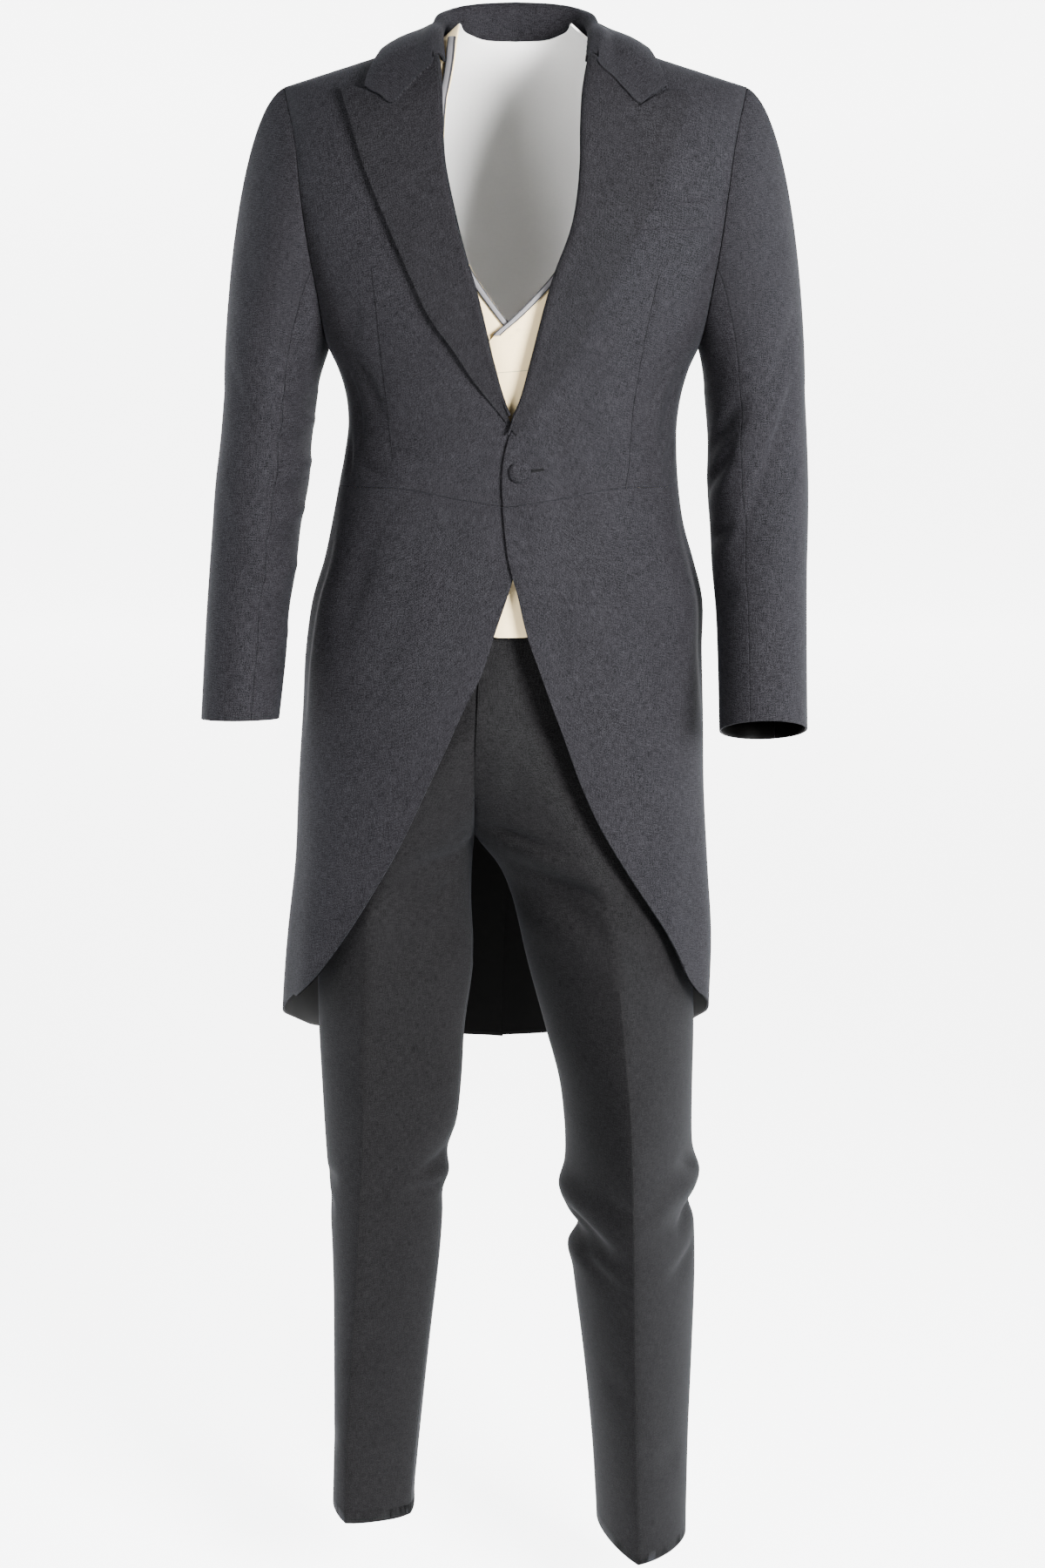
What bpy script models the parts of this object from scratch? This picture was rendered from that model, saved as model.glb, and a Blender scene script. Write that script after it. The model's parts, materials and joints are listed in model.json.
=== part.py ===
"""A charcoal morning suit, worn and filled out: cutaway coat, waistcoat and trousers.

The origin is level with the tips of the shoulders, on the mid-plane. +X is the wearer's left,
-Y the front and +Z up. Sizes are in millimetres, and heights are written as a drop below the
origin. Each piece is a thin wall of cloth. Its outer face is laid out on the round of the
body, as an angle from the centre front and a run of cloth down from the shoulder line.
"""

import bpy
import numpy as np
from mathutils import Vector

COLLECTION = "morning_suit"
SIDES = {1: "left", -1: "right"}
MM = 0.001
SEAM = 0.3
COAT_CLOTH = 2.0
LAPEL_CLOTH = 2.4
WAISTCOAT_CLOTH = 2.0
TROUSER_CLOTH = 1.6

# Shoulders
SHOULDER_HALF = 223.0
NECK_HALF = 85.0
NECK_HEIGHT = 43.0
NECK_RISE = 0.6
NECK_SOFTNESS = 7.0
SHOULDER_ROUND = 70.0
BODY_POWER = 2.3

# Seams, as angles from the centre front and drops
ARMHOLE_DEPTH = 248.0
SIDE_SEAM_TURN = 160.0
BACK_SEAM_TURN = 232.0
SIDE_ANGLE = 80.0
PLEAT_ANGLE = 150.0
COLLAR_SEAM_HALF = 88.0
NAPE_DROP = -42.0
BACK_NECK = (0.01, 30, 60, 75, 84)
BACK_WAIST_DROP = 386.0

# Rows and columns of the cloth
FRONT_COLUMNS = 7
SIDE_COLUMNS = 5
NECK_COLUMNS = 3
SIDE_ROWS = 7
ARMHOLE_FRONT_ROWS = 10
ARMHOLE_BACK_ROWS = 7
SKIRT_ROWS = 13

# Layers
LAPEL_ROWS = 13
GORGE_COLUMNS = 4
PEAK_COLUMNS = 4
ROLL_BEYOND = {1: 1.45, -1: 0.92}
ROLL_LIFTS = (-1.0, 3.2, 6.2)
FRONT_OVERLAP_LIFT = 3.4
FRONT_LAP_EDGE = (48, 14)
FRONT_LAP_TOP = (270, 320)
LAPEL_LIFT = 5.8
WELT_LIFT = 2.6
WELT_CLOTH = 1.7
VENT_LIFT = 3.4
VENT_OVERLAP = 2.5
VENT_UNDERLAP = 2.0
BUTTON_RADIUS = 10.5
BUTTON_HEIGHT = 5.0

CHARCOAL = (0.055, 0.057, 0.062)
CREAM = (0.80, 0.74, 0.62)
SATIN = (0.33, 0.33, 0.34)


def table(columns, *rows):
    """Named columns of numbers. The first is the one that the others are read along."""
    return dict(zip(columns.split(), np.array(rows, float).T))


BODY = table(
    "drop width front back shift",
    (-60, 212, 56, 58, 0),
    (-40, 215, 66, 66, 0),
    (0, 223, 88, 92, 0),
    (50, 226, 106, 112, 0),
    (100, 229, 120, 124, -1),
    (150, 221, 128, 129, -1),
    (200, 203, 132, 127, -1),
    (248, 181, 132, 118, -2),
    (265, 173, 130, 113, -2),
    (292, 165, 127, 105, -2),
    (320, 162, 124, 99, -3),
    (350, 164, 121, 95, -5),
    (380, 168, 120, 94, -7),
    (420, 175, 122, 99, -8),
    (455, 184, 125, 107, -7),
    (490, 194, 128, 115, -8),
    (545, 199, 131, 125, -12),
    (605, 202, 133, 133, -13),
    (685, 206, 134, 140, -15),
    (765, 211, 136, 147, -15),
    (837, 218, 137, 152, -17),
    (915, 221, 138, 156, -21),
    (1010, 222, 139, 160, -23),
)
DRAPE = table(
    "angle top bottom spread depth",
    (34, 560, 1000, 9, -4),
    (62, 480, 1040, 11, -6),
    (104, 430, 1080, 13, -7),
    (133, 400, 1080, 9, 6),
    (166, 420, 1080, 8, -6),
    (-40, 600, 1000, 10, -4),
    (-70, 500, 1040, 12, -6),
    (-112, 430, 1080, 12, -7),
    (-136, 400, 1080, 9, 6),
    (-168, 420, 1080, 8, -6),
)
ARMHOLE = table(
    "drop front back",
    (0, 223, 223),
    (50, 210, 212),
    (100, 203, 204),
    (150, 196, 196),
    (191, 189, 190),
    (230, 183.5, 184),
    (248, 181, 181),
)
FRONT_EDGE = {
    1: table(
        "drop x",
        (-31, 74),
        (-9, 68),
        (14, 64),
        (47, 62),
        (81, 60),
        (138, 49),
        (181, 34),
        (217, 26),
        (258, 16),
        (296, 6),
        (322, -5),
        (345, -11),
        (370, -13),
        (391, -12),
    ),
    -1: table(
        "drop x",
        (-29, -76),
        (-9, -72),
        (14, -71),
        (44, -70),
        (76, -68),
        (115, -60),
        (155, -50),
        (194, -38),
        (226, -30),
        (258, -22),
        (299, -10),
        (320, -1),
        (350, 8),
        (391, 10),
    ),
}
LAPEL_EDGE = {
    1: table(
        "drop x",
        (6, 162),
        (24, 159),
        (45, 152),
        (76, 142),
        (110, 128),
        (161, 101),
        (201, 79),
        (247, 55),
        (281, 34),
        (306, 15),
        (324, 1),
    ),
    -1: table(
        "drop x",
        (0, -163),
        (13, -159),
        (32, -153),
        (76, -140),
        (110, -126),
        (147, -110),
        (176, -97),
        (214, -79),
        (247, -55),
        (272, -39),
        (293, -22),
    ),
}
LAPEL_FOOT = {1: 316.0, -1: 284.0}
LAPEL_HEAD = {1: -24.5, -1: -24.5}
NOTCH = {1: (114, 16), -1: (-114, 14)}
PEAK = {
    1: table("x drop", (114, 16), (131, 7.5), (148, 3), (157, 3.2), (162, 6)),
    -1: table("x drop", (114, 14), (130, 6), (144, 1), (155, -1), (163, 0)),
}
CUTAWAY = {
    1: table(
        "drop x",
        (391, -12),
        (404, -11),
        (440, -7),
        (480, 3),
        (514, 11),
        (545, 22),
        (579, 34),
        (614, 47),
        (659, 63),
        (707, 85),
        (741, 103),
        (790, 128),
        (813, 146),
        (841, 165),
        (867, 178),
        (889, 187),
    ),
    -1: table(
        "drop x",
        (391, 10),
        (425, 7),
        (462, -3),
        (513, -20),
        (555, -34),
        (584, -49),
        (624, -67),
        (658, -83),
        (731, -119),
        (782, -153),
        (825, -175),
        (852, -194),
        (869, -210),
        (887, -225),
    ),
}
WAIST_SEAM = table("angle drop", (0, 392), (14, 386), (34, 377), (60, 378), (90, 381), (150, 386))
HEM = table("angle drop", (70, 893), (90, 921), (120, 953), (150, 984), (180, 1003))
SIDE_BACK_SEAM = table("drop angle", (200, 116), (250, 125), (310, 138), (386, 150))

SLEEVE = {
    -1: table(
        "drop outer inner middle depth tilt",
        (290, 287, 195, 4, 74, 0),
        (340, 292, 202, 0, 71, 2),
        (380, 297, 205, -6, 68, 4),
        (420, 300, 213, -13, 65, 5),
        (460, 302, 217, -30, 62, 6),
        (500, 303.5, 223, -50, 59, 7),
        (540, 304.5, 225, -69, 57, 8),
        (600, 306, 230.5, -97, 54, 8),
    ),
    1: table(
        "drop outer inner middle depth tilt",
        (290, 285, 186, 4, 74, 0),
        (340, 288, 190, 0, 71, 2),
        (380, 289.5, 189.5, -6, 68, 5),
        (420, 289.5, 192.5, -13, 65, 8),
        (460, 287.5, 194, -30, 62, 11),
        (500, 286, 197, -50, 59, 14),
        (540, 285, 198, -69, 57, 17),
        (611, 284, 198.5, -100, 54, 20),
    ),
}
SLEEVE_HEAD = table(
    "turn out fore down",
    (0, 0.42, 0.0, 0.21),
    (90, 0.35, 0.15, 0.60),
    (180, 0.25, 0.0, 0.90),
    (270, 0.35, -0.15, 0.60),
    (360, 0.42, 0.0, 0.21),
)
SLEEVE_HEAD_ROWS = 4
SLEEVE_ROWS = 8
FRONT_ARM_COLUMN = 7
HIND_ARM_COLUMN = 18

COLLAR = table(
    "step fold_x fold_y fold_z leaf_x leaf_z seam_x seam_y seam_z crown",
    (0, 74.5, -58, 36, 140, -4, 70, -50, 31, 6),
    (1, 76, -42, 43, 135, 9, 75, -34, 38, 5),
    (2, 77.5, -23, 50, 129, 22, 80.5, -16, 42.5, 4),
    (3, 77, 0, 58, 122, 31.5, 84, 1, 46, 4),
    (4, 74, 20, 67, 112, 27, 80, 18, 47, 4),
    (5, 66, 37, 72, 95, 26, 69, 34, 46, 4),
    (6, 51, 50, 77, 70, 28, 51.5, 48, 44, 4),
    (7, 28, 59, 80, 37, 32, 28, 57.3, 43.4, 4),
    (8, 0, 62, 81, 0, 34, 0, 61.8, 43.4, 4),
)
SHOULDER_STEP = 3
COLLAR_COLUMNS = 12
COLLAR_LIFT = 5.0
FOLD_WIDTH = 7.0
NOTCH_SHARE = 0.62
COLLAR_END = table(
    "share x drop", (0, 75, -33), (0.31, 95, -10.5), (0.62, 114, 11.6), (0.81, 127, 3.4), (1, 139, -2.4)
)

WELT_CORNERS = ((108, 109.5), (184, 106), (183.5, 132), (108, 134))
BUTTON_PLACE = (4, 358)
BACK_BUTTON_PLACE = (148, 378)
BACK_BUTTON_LIFT = 1.0

# Waistcoat
WAISTCOAT_COLUMNS = 5
WAISTCOAT_NECK_COLUMNS = 3
WAISTCOAT_SIDE_ROWS = 5
WAISTCOAT_ARMHOLE_ROWS = 8
WAISTCOAT_LAP = 4.6
PIPING_WIDTH = 5.0
PIPING_LIFT = 2.3
PIPING_CLOTH = 1.4
WAISTCOAT_UNDER_SHOULDER = table("run inset", (0, 2.8), (24, 5.6), (60, 9.5), (110, 12))
WAISTCOAT_DEPTH = table("drop inset", (-60, 12), (330, 12), (400, 9.5), (455, 9.5), (515, 12))
WAISTCOAT_NECK_INSET = 9.0
WAISTCOAT_EDGE = {
    1: table(
        "drop x",
        (-50, 60),
        (-30, 62),
        (0, 67),
        (35, 69),
        (76, 67),
        (120, 58),
        (172, 35),
        (197, 15),
        (217, -6),
        (231, -22),
        (260, -30),
        (400, -30),
        (515, -28),
    ),
    -1: table(
        "drop x",
        (-50, -60),
        (-30, -61),
        (0, -64),
        (35, -67),
        (76, -68),
        (120, -61),
        (170, -41),
        (193, -26),
        (219, -6),
        (240, 10),
        (270, 24),
        (400, 26),
        (515, 26),
    ),
}
WAISTCOAT_ARMHOLE = table(
    "drop x",
    (-27, 135),
    (30, 137),
    (80, 139),
    (150, 143),
    (215, 152),
    (258, 163),
)
WAISTCOAT_BACK_ARMHOLE = table(
    "drop x",
    (-27, 135),
    (30, 141),
    (80, 146),
    (150, 150),
    (215, 156),
    (262, 164),
)
WAISTCOAT_SIDE_ANGLE = 96.0
WAISTCOAT_SIDE_DROPS = (455, 370, 285)
WAISTCOAT_NECK_HALF = 60.0
WAISTCOAT_SHOULDER_HALF = 135.0
WAISTCOAT_LAP_EDGE = (-80, -44)
WAISTCOAT_LAP_TOP = (160, 205)
WAISTCOAT_HEM = table("angle drop", (-12, 516), (8, 516), (40, 492), (70, 466), (96, 455), (180, 450))
WAISTCOAT_NAPE = -50.0
WAISTCOAT_BACK_NECK = ((38, -54), (55, -60))
PIPING_FOOT = {1: 231.0, -1: 213.0}

# Trousers
WAISTBAND_TOP = 388.0
WAISTBAND_FOOT = 420.0
WAISTBAND_COLUMNS = 24
WAISTBAND_INSET = 14.9
WAISTBAND_FRONT_INSET = 4.4
WAISTBAND_FRONT_SPREAD = 46.0
HIP_DROP = 545.0
FORK_TOP = 605.0
FORK_DROP = 738.0
FORK_MITRE = 0.4
CREASE_SHARPNESS = 1.25
LEG_COLUMNS = 6
LEG = {
    -1: table(
        "drop side inner front back skew crease",
        (420, -157, -14, 97, 84, 0, 0),
        (460, -166, -20, 102, 92, 0, 0),
        (545, -184, -30, 109, 106, 0, 0.1),
        (605, -191, -33, 112, 114, 0, 0.2),
        (738, -203, -42, 108, 112, -8, 0.3),
        (800, -206, -45, 96, 100, -18, 0.4),
        (870, -206, -42, 89, 92, -23, 0.45),
        (945, -206, -51, 87, 82, -24, 0.5),
        (1000, -204, -54, 90, 76, -25, 0.5),
        (1050, -202, -59, 88, 76, -25, 0.5),
        (1110, -199, -70, 83, 78, -25, 0.5),
        (1200, -197, -77, 75, 84, -28, 0.5),
        (1300, -198, -88, 66, 88, -29, 0.5),
        (1400, -200, -98, 58, 90, -30, 0.5),
        (1472, -202, -106, 51, 92, -27, 0.5),
    ),
    1: table(
        "drop side inner front back skew crease",
        (420, 142, -14, 97, 84, 0, 0),
        (460, 150, -20, 102, 92, 0, 0),
        (545, 163, -30, 109, 106, 0, 0.1),
        (605, 168, -33, 112, 114, 0, 0.2),
        (738, 176, -42, 108, 112, 8, 0.3),
        (764, 178, -22, 109, 104, 8, 0.35),
        (800, 180, -6, 112, 92, 7, 0.4),
        (870, 182, 11, 118, 70, 6, 0.45),
        (945, 184, 31, 127, 50, 2, 0.5),
        (1000, 183.5, 45, 136, 36, 0, 0.5),
        (1042, 183.5, 50, 144, 24, -1, 0.5),
        (1117, 186, 52, 136, 18, -1, 0.5),
        (1200, 189, 59, 124, 28, -4, 0.5),
        (1300, 187.5, 71, 112, 40, -7, 0.5),
        (1400, 185, 80.6, 100, 50, -8, 0.5),
        (1486, 184, 86, 88, 58, -7, 0.5),
    ),
}
FORK_SEAM = table("drop x", (420, -18), (460, -26), (545, -35), (605, -38), (738, -42))
HEM_SLOPE = {1: (16.5, 6.0, 10.5), -1: (-2.5, 2.5, -12.5)}
HEM_SLOPE_TOP = 1250.0
LEG_FOLDS = {
    -1: table(
        "drop height angle spread depth",
        (1076, 20, -95, 45, -6),
        (1102, 12, -80, 35, 5),
        (1128, 16, -95, 40, -3),
        (768, 22, -30, 34, -7),
        (806, 20, -20, 40, 5),
    ),
    1: table(
        "drop height angle spread depth",
        (1098, 18, 84, 46, 9),
        (1130, 14, 84, 46, -7),
        (1113, 18, -84, 44, 9),
        (1155, 13, -80, 50, -13),
        (1182, 14, -84, 40, 4),
        (790, 20, -30, 40, -7),
        (826, 20, -15, 44, 5),
    ),
}
LEG_ROWS = table(
    "row drop",
    (0, 420),
    (3, 605),
    (7, 738),
    (10, 880),
    (13, 1050),
    (20, 1190),
    (23, 1400),
    (24, 1500),
)


def read(rows, column, at):
    """A smooth curve through one column of a table, held level past its ends."""
    keys = next(iter(rows.values()))
    values = rows[column]
    slopes = np.gradient(values, keys)
    at = np.clip(at, keys[0], keys[-1])
    before = np.clip(np.searchsorted(keys, at) - 1, 0, len(keys) - 2)
    step = keys[before + 1] - keys[before]
    share = (at - keys[before]) / step
    ahead = 1 - share
    return (
        (1 + 2 * share) * ahead**2 * values[before]
        + share * ahead**2 * step * slopes[before]
        + share**2 * (3 - 2 * share) * values[before + 1]
        - share**2 * ahead * step * slopes[before + 1]
    )


def ease(start, end, value):
    """0 at start, 1 at end and smooth between them."""
    share = np.clip((value - start) / (end - start), 0, 1)
    return share * share * (3 - 2 * share)


def ridge(x):
    """Height of the shoulder line, which turns up beside the neck."""
    x = np.abs(x)
    slope = NECK_HEIGHT / (SHOULDER_HALF - NECK_HALF)
    inside = NECK_SOFTNESS * np.logaddexp(0, (NECK_HALF - x) / NECK_SOFTNESS)
    return slope * (SHOULDER_HALF - x) + NECK_RISE * inside


def section(angle, drop):
    """Across and forward shares of the body's section, which is a soft-cornered oval."""
    sine, cosine = np.sin(np.radians(angle)), np.cos(np.radians(angle))
    reach = (np.abs(sine) ** BODY_POWER + np.abs(cosine) ** BODY_POWER) ** (-1 / BODY_POWER)
    return read(BODY, "width", drop) * reach * sine, reach * cosine


def drape(angle, drop):
    """How far the hanging cloth stands out, or falls in, from the round of the body."""
    out = 0
    for fold in range(len(DRAPE["angle"])):
        around = (angle - DRAPE["angle"][fold]) / DRAPE["spread"][fold]
        down = ease(DRAPE["top"][fold], DRAPE["bottom"][fold], drop)
        out = out + DRAPE["depth"][fold] * down * np.exp(-around * around)
    return out


def coat_face(angle, run):
    """The coat's outer face at an angle, a run of cloth down from the shoulder line."""
    turned = np.minimum(run / SHOULDER_ROUND, np.pi / 2)
    below = SHOULDER_ROUND * (1 - np.cos(turned)) + np.maximum(
        run - SHOULDER_ROUND * np.pi / 2, 0
    )
    drop = below
    for _ in range(4):
        x, forward = section(angle, drop)
        drop = below - ridge(x)
    x, forward = section(angle, drop)
    depth = np.where(forward > 0, read(BODY, "front", drop), read(BODY, "back", drop))
    y = -depth * forward * np.sin(turned)
    length = np.hypot(x, y) + 1e-9
    swell = 1 + drape(angle, drop) / length
    return np.stack([x * swell + read(BODY, "shift", drop), y * swell, -drop], -1)


def run_at(angle, drop):
    """The run of cloth that reaches a drop at an angle."""
    x, _ = section(angle, drop)
    below = (ridge(x) + drop) / SHOULDER_ROUND
    turned = np.arccos(np.clip(1 - below, 0, 1))
    return SHOULDER_ROUND * (turned + np.maximum(below - 1, 0))


def angle_at(x, drop):
    """The angle of a point of the front that lies x across."""
    across = (x - read(BODY, "shift", drop)) / read(BODY, "width", drop)
    size = np.clip(np.abs(across), 0, 1)
    forward = (1 - size**BODY_POWER) ** (1 / BODY_POWER)
    return np.degrees(np.arctan2(size, forward)) * np.sign(across)


def on_front(points):
    """(x, drop) pairs as (angle, run) pairs on the front."""
    points = np.asarray(points, float)
    angle = angle_at(points[:, 0], points[:, 1])
    return np.stack([angle, run_at(angle, points[:, 1])], -1)


def on_back(points):
    """(x, drop) pairs as (angle, run) pairs on the back."""
    points = np.asarray(points, float)
    angle = angle_at(points[:, 0], points[:, 1])
    angle = np.sign(points[:, 0] + 1e-9) * 180 - angle
    return np.stack([angle, run_at(angle, points[:, 1])], -1)


def turned(points):
    """(angle, drop) pairs as (angle, run) pairs."""
    points = np.asarray(points, float)
    return np.stack([points[:, 0], run_at(points[:, 0], points[:, 1])], -1)


def evenly(points, count):
    """count + 1 points evenly spaced along a smooth curve through the points given."""
    points = np.asarray(points, float)
    steps = np.linalg.norm(np.diff(points, axis=0), axis=1)
    along = np.concatenate([[0], np.cumsum(steps)])
    curve = {"along": along}
    for axis in range(points.shape[1]):
        curve[axis] = points[:, axis]
    fine = np.linspace(0, along[-1], 20 * count + 1)
    dense = np.stack([read(curve, axis, fine) for axis in range(points.shape[1])], -1)
    steps = np.linalg.norm(np.diff(dense, axis=0), axis=1)
    length = np.concatenate([[0], np.cumsum(steps)])
    wanted = np.linspace(0, length[-1], count + 1)
    return np.stack([np.interp(wanted, length, values) for values in dense.T], -1)


def joined(*stretches):
    """Stretches that meet end to end, as one list of points."""
    return np.concatenate([stretches[0]] + [stretch[1:] for stretch in stretches[1:]])


def patch(bottom, top, left, right):
    """A grid of pairs between four edges that share their corners; rows run bottom to top."""
    across = np.linspace(0, 1, len(bottom))[None, :, None]
    up = np.linspace(0, 1, len(left))[:, None, None]
    corners = (
        (1 - across) * (1 - up) * bottom[0]
        + across * (1 - up) * bottom[-1]
        + (1 - across) * up * top[0]
        + across * up * top[-1]
    )
    rows = (1 - up) * bottom[None] + up * top[None]
    columns = (1 - across) * left[:, None] + across * right[:, None]
    return rows + columns - corners


def unit(vectors):
    return vectors / (np.linalg.norm(vectors, axis=-1, keepdims=True) + 1e-12)


def outward(surface, first, second):
    """Which way a surface of two values faces, away from the body."""
    over_first = surface(first + 0.2, second) - surface(first - 0.2, second)
    over_second = surface(first, second + 0.5) - surface(first, second - 0.5)
    return unit(np.cross(over_second, over_first))


def wall(surface, grid, lift, thickness):
    """Outer and inner points of a wall laid on a surface, lifted off it and this thick."""
    first, second = grid[..., 0], grid[..., 1]
    points, facing = surface(first, second), outward(surface, first, second)
    lift = np.broadcast_to(lift, first.shape)[..., None]
    return points + facing * lift, points + facing * (lift - thickness)


def parted(walls, *sides):
    """The wall drawn back from its neighbours by half a seam on the sides named."""
    outer, inner = (points.copy() for points in walls)
    source = walls[0]
    for points in (outer, inner):
        if "bottom" in sides:
            points[0] += unit(source[1] - source[0]) * SEAM / 2
        if "top" in sides:
            points[-1] += unit(source[-2] - source[-1]) * SEAM / 2
        if "left" in sides:
            points[:, 0] += unit(source[:, 1] - source[:, 0]) * SEAM / 2
        if "right" in sides:
            points[:, -1] += unit(source[:, -2] - source[:, -1]) * SEAM / 2
    return outer, inner


def finish(name, colour, roughness):
    """A cloth material of this part's own."""
    material = bpy.data.materials.new(name)
    material.use_nodes = True
    shader = material.node_tree.nodes["Principled BSDF"]
    shader.inputs["Base Color"].default_value = (*colour, 1)
    shader.inputs["Roughness"].default_value = roughness
    shader.inputs["Metallic"].default_value = 0
    return material


def cloth(name, walls, colour, roughness=0.9, closed=False):
    """A closed solid of cloth between the outer and inner points of a wall."""
    outer, inner = walls
    rows, columns = outer.shape[:2]
    layer = rows * columns

    def corner(deep, row, column):
        return deep * layer + row * columns + column % columns

    faces = []
    spans = columns if closed else columns - 1
    for row in range(rows - 1):
        for column in range(spans):
            square = [(row, column), (row, column + 1), (row + 1, column + 1), (row + 1, column)]
            a, b, c, d = (outer[i, j % columns] for i, j in square)
            if np.linalg.norm(a - c) > np.linalg.norm(b - d):
                square = square[1:] + square[:1]
            for half in (square[:3], [square[0], *square[2:]]):
                faces.append([corner(0, *spot) for spot in half])
                faces.append([corner(1, *spot) for spot in reversed(half)])
    edges = []
    for column in range(spans):
        edges.append(((0, column + 1), (0, column)))
        edges.append(((rows - 1, column), (rows - 1, column + 1)))
    if not closed:
        for row in range(rows - 1):
            edges.append(((row, 0), (row + 1, 0)))
            edges.append(((row + 1, columns - 1), (row, columns - 1)))
    for start, end in edges:
        faces.append([corner(0, *start), corner(0, *end), corner(1, *end), corner(1, *start)])
    points = np.concatenate([outer.reshape(-1, 3), inner.reshape(-1, 3)])
    along_row = outer[1:, :-1] - outer[:-1, :-1]
    along_column = outer[:-1, 1:] - outer[:-1, :-1]
    facing = np.cross(along_column, along_row)
    if (facing * (outer - inner)[:-1, :-1]).sum() < 0:
        faces = [face[::-1] for face in faces]
    mesh = bpy.data.meshes.new(name)
    mesh.from_pydata((points * MM).tolist(), [], faces)
    mesh.shade_smooth()
    mesh.materials.append(finish(name, colour, roughness))
    part = bpy.data.objects.new(name, mesh)
    bpy.data.collections[COLLECTION].objects.link(part)
    return part


def clear_scene():
    for thing in list(bpy.data.objects):
        bpy.data.objects.remove(thing, do_unlink=True)
    bpy.context.scene.collection.children.link(bpy.data.collections.new(COLLECTION))


def armhole_stretch(start, end, count):
    """Pairs along the armhole, which turns from 0 at the shoulder tip, down the front."""
    turn = np.radians(np.linspace(start, end, 90))
    drop = ARMHOLE_DEPTH / 2 * (1 - np.cos(turn))
    front = angle_at(read(ARMHOLE, "front", drop) + read(BODY, "shift", drop), drop)
    back = 180 - angle_at(read(ARMHOLE, "back", drop) + read(BODY, "shift", drop), drop)
    angle = np.where(turn <= np.pi, front, back)
    pairs = np.stack([angle, run_at(angle, drop)], -1)
    places = coat_face(pairs[:, 0], pairs[:, 1])
    length = np.concatenate([[0], np.cumsum(np.linalg.norm(np.diff(places, axis=0), axis=1))])
    wanted = np.linspace(0, length[-1], count + 1)
    return np.stack([np.interp(wanted, length, values) for values in pairs.T], -1)


def armhole_front():
    return armhole_stretch(0, SIDE_SEAM_TURN, ARMHOLE_FRONT_ROWS)


def armhole_under():
    return armhole_stretch(SIDE_SEAM_TURN, BACK_SEAM_TURN, SIDE_COLUMNS)


def armhole_back():
    return armhole_stretch(BACK_SEAM_TURN, 360, ARMHOLE_BACK_ROWS)


def waist_point(angle):
    return turned([(angle, read(WAIST_SEAM, "drop", angle))])[0]


def side_seam():
    """From the waist up to the armhole."""
    return evenly([waist_point(SIDE_ANGLE), armhole_front()[-1]], SIDE_ROWS)


def side_back_seam():
    """From the waist up to the armhole."""
    drops = SIDE_BACK_SEAM["drop"][::-1]
    pairs = turned(np.stack([SIDE_BACK_SEAM["angle"][::-1], drops], -1))
    pairs[0] = waist_point(PLEAT_ANGLE)
    pairs[-1] = armhole_under()[-1]
    return evenly(pairs, SIDE_ROWS)


def pleat_line():
    """From the hem up to the waist."""
    foot = turned([(PLEAT_ANGLE, read(HEM, "drop", PLEAT_ANGLE))])[0]
    return evenly([foot, waist_point(PLEAT_ANGLE)], SKIRT_ROWS)


def waist_seam(start, end, count):
    angles = np.linspace(start, end, count + 1)
    return turned(np.stack([angles, read(WAIST_SEAM, "drop", angles)], -1))


def shoulder_seam(columns):
    """From the collar out to the tip, along the shoulder line."""
    x = np.linspace(COLLAR_SEAM_HALF, SHOULDER_HALF, columns + 1)
    angle = angle_at(x, -ridge(x))
    angle[-1] = 90
    return np.stack([angle, np.zeros(columns + 1)], -1)


def edge_points(rows, side):
    """A table of an edge as (x, drop) pairs, top first, as though on the wearer's left."""
    return np.stack([rows["x"] * side, rows["drop"]], -1)


def front_pairs(points, side):
    """Pairs of the front for (x, drop) points given as though on the wearer's left."""
    pairs = on_front(np.asarray(points, float) * np.array([side, 1]))
    return pairs * np.array([side, 1])


def front_lift(side):
    """How far the front that laps over is lifted off the round, near the centre."""

    def lift(grid):
        place = coat_face(side * grid[..., 0], grid[..., 1])
        x, drop = place[..., 0], -place[..., 2]
        lapping = ease(*FRONT_LAP_EDGE, x) * ease(*FRONT_LAP_TOP, drop)
        return FRONT_OVERLAP_LIFT * lapping * (side > 0)

    return lift


def front_grid(side):
    """Pairs of a forepart, as though on the wearer's left."""
    top = shoulder_seam(FRONT_COLUMNS)
    edge = front_pairs(edge_points(FRONT_EDGE[side], side)[::-1], side)
    edge = np.concatenate([edge, top[:1]])
    edge_rows = evenly(edge, SIDE_ROWS + ARMHOLE_FRONT_ROWS)
    right = joined(side_seam(), armhole_front()[::-1])
    bottom = waist_seam(edge_rows[0, 0], SIDE_ANGLE, FRONT_COLUMNS)
    bottom[0] = edge_rows[0]
    return patch(bottom, top, edge_rows, right)


def coat_wall(side, grid, lift=0, thickness=COAT_CLOTH):
    angles = grid * np.array([side, 1])
    return wall(coat_face, angles, lift, thickness)


def coat_front(side):
    grid = front_grid(side)
    walls = coat_wall(side, grid, front_lift(side)(grid))
    walls = parted(walls, "bottom", "top", "right")
    return cloth(f"coat_front_{SIDES[side]}", walls, CHARCOAL)


def coat_side(side):
    bottom = waist_seam(SIDE_ANGLE, PLEAT_ANGLE, SIDE_COLUMNS)
    grid = patch(bottom, armhole_under(), side_seam(), side_back_seam())
    walls = parted(coat_wall(side, grid), "bottom", "top", "left", "right")
    return cloth(f"coat_side_{SIDES[side]}", walls, CHARCOAL)


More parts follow.
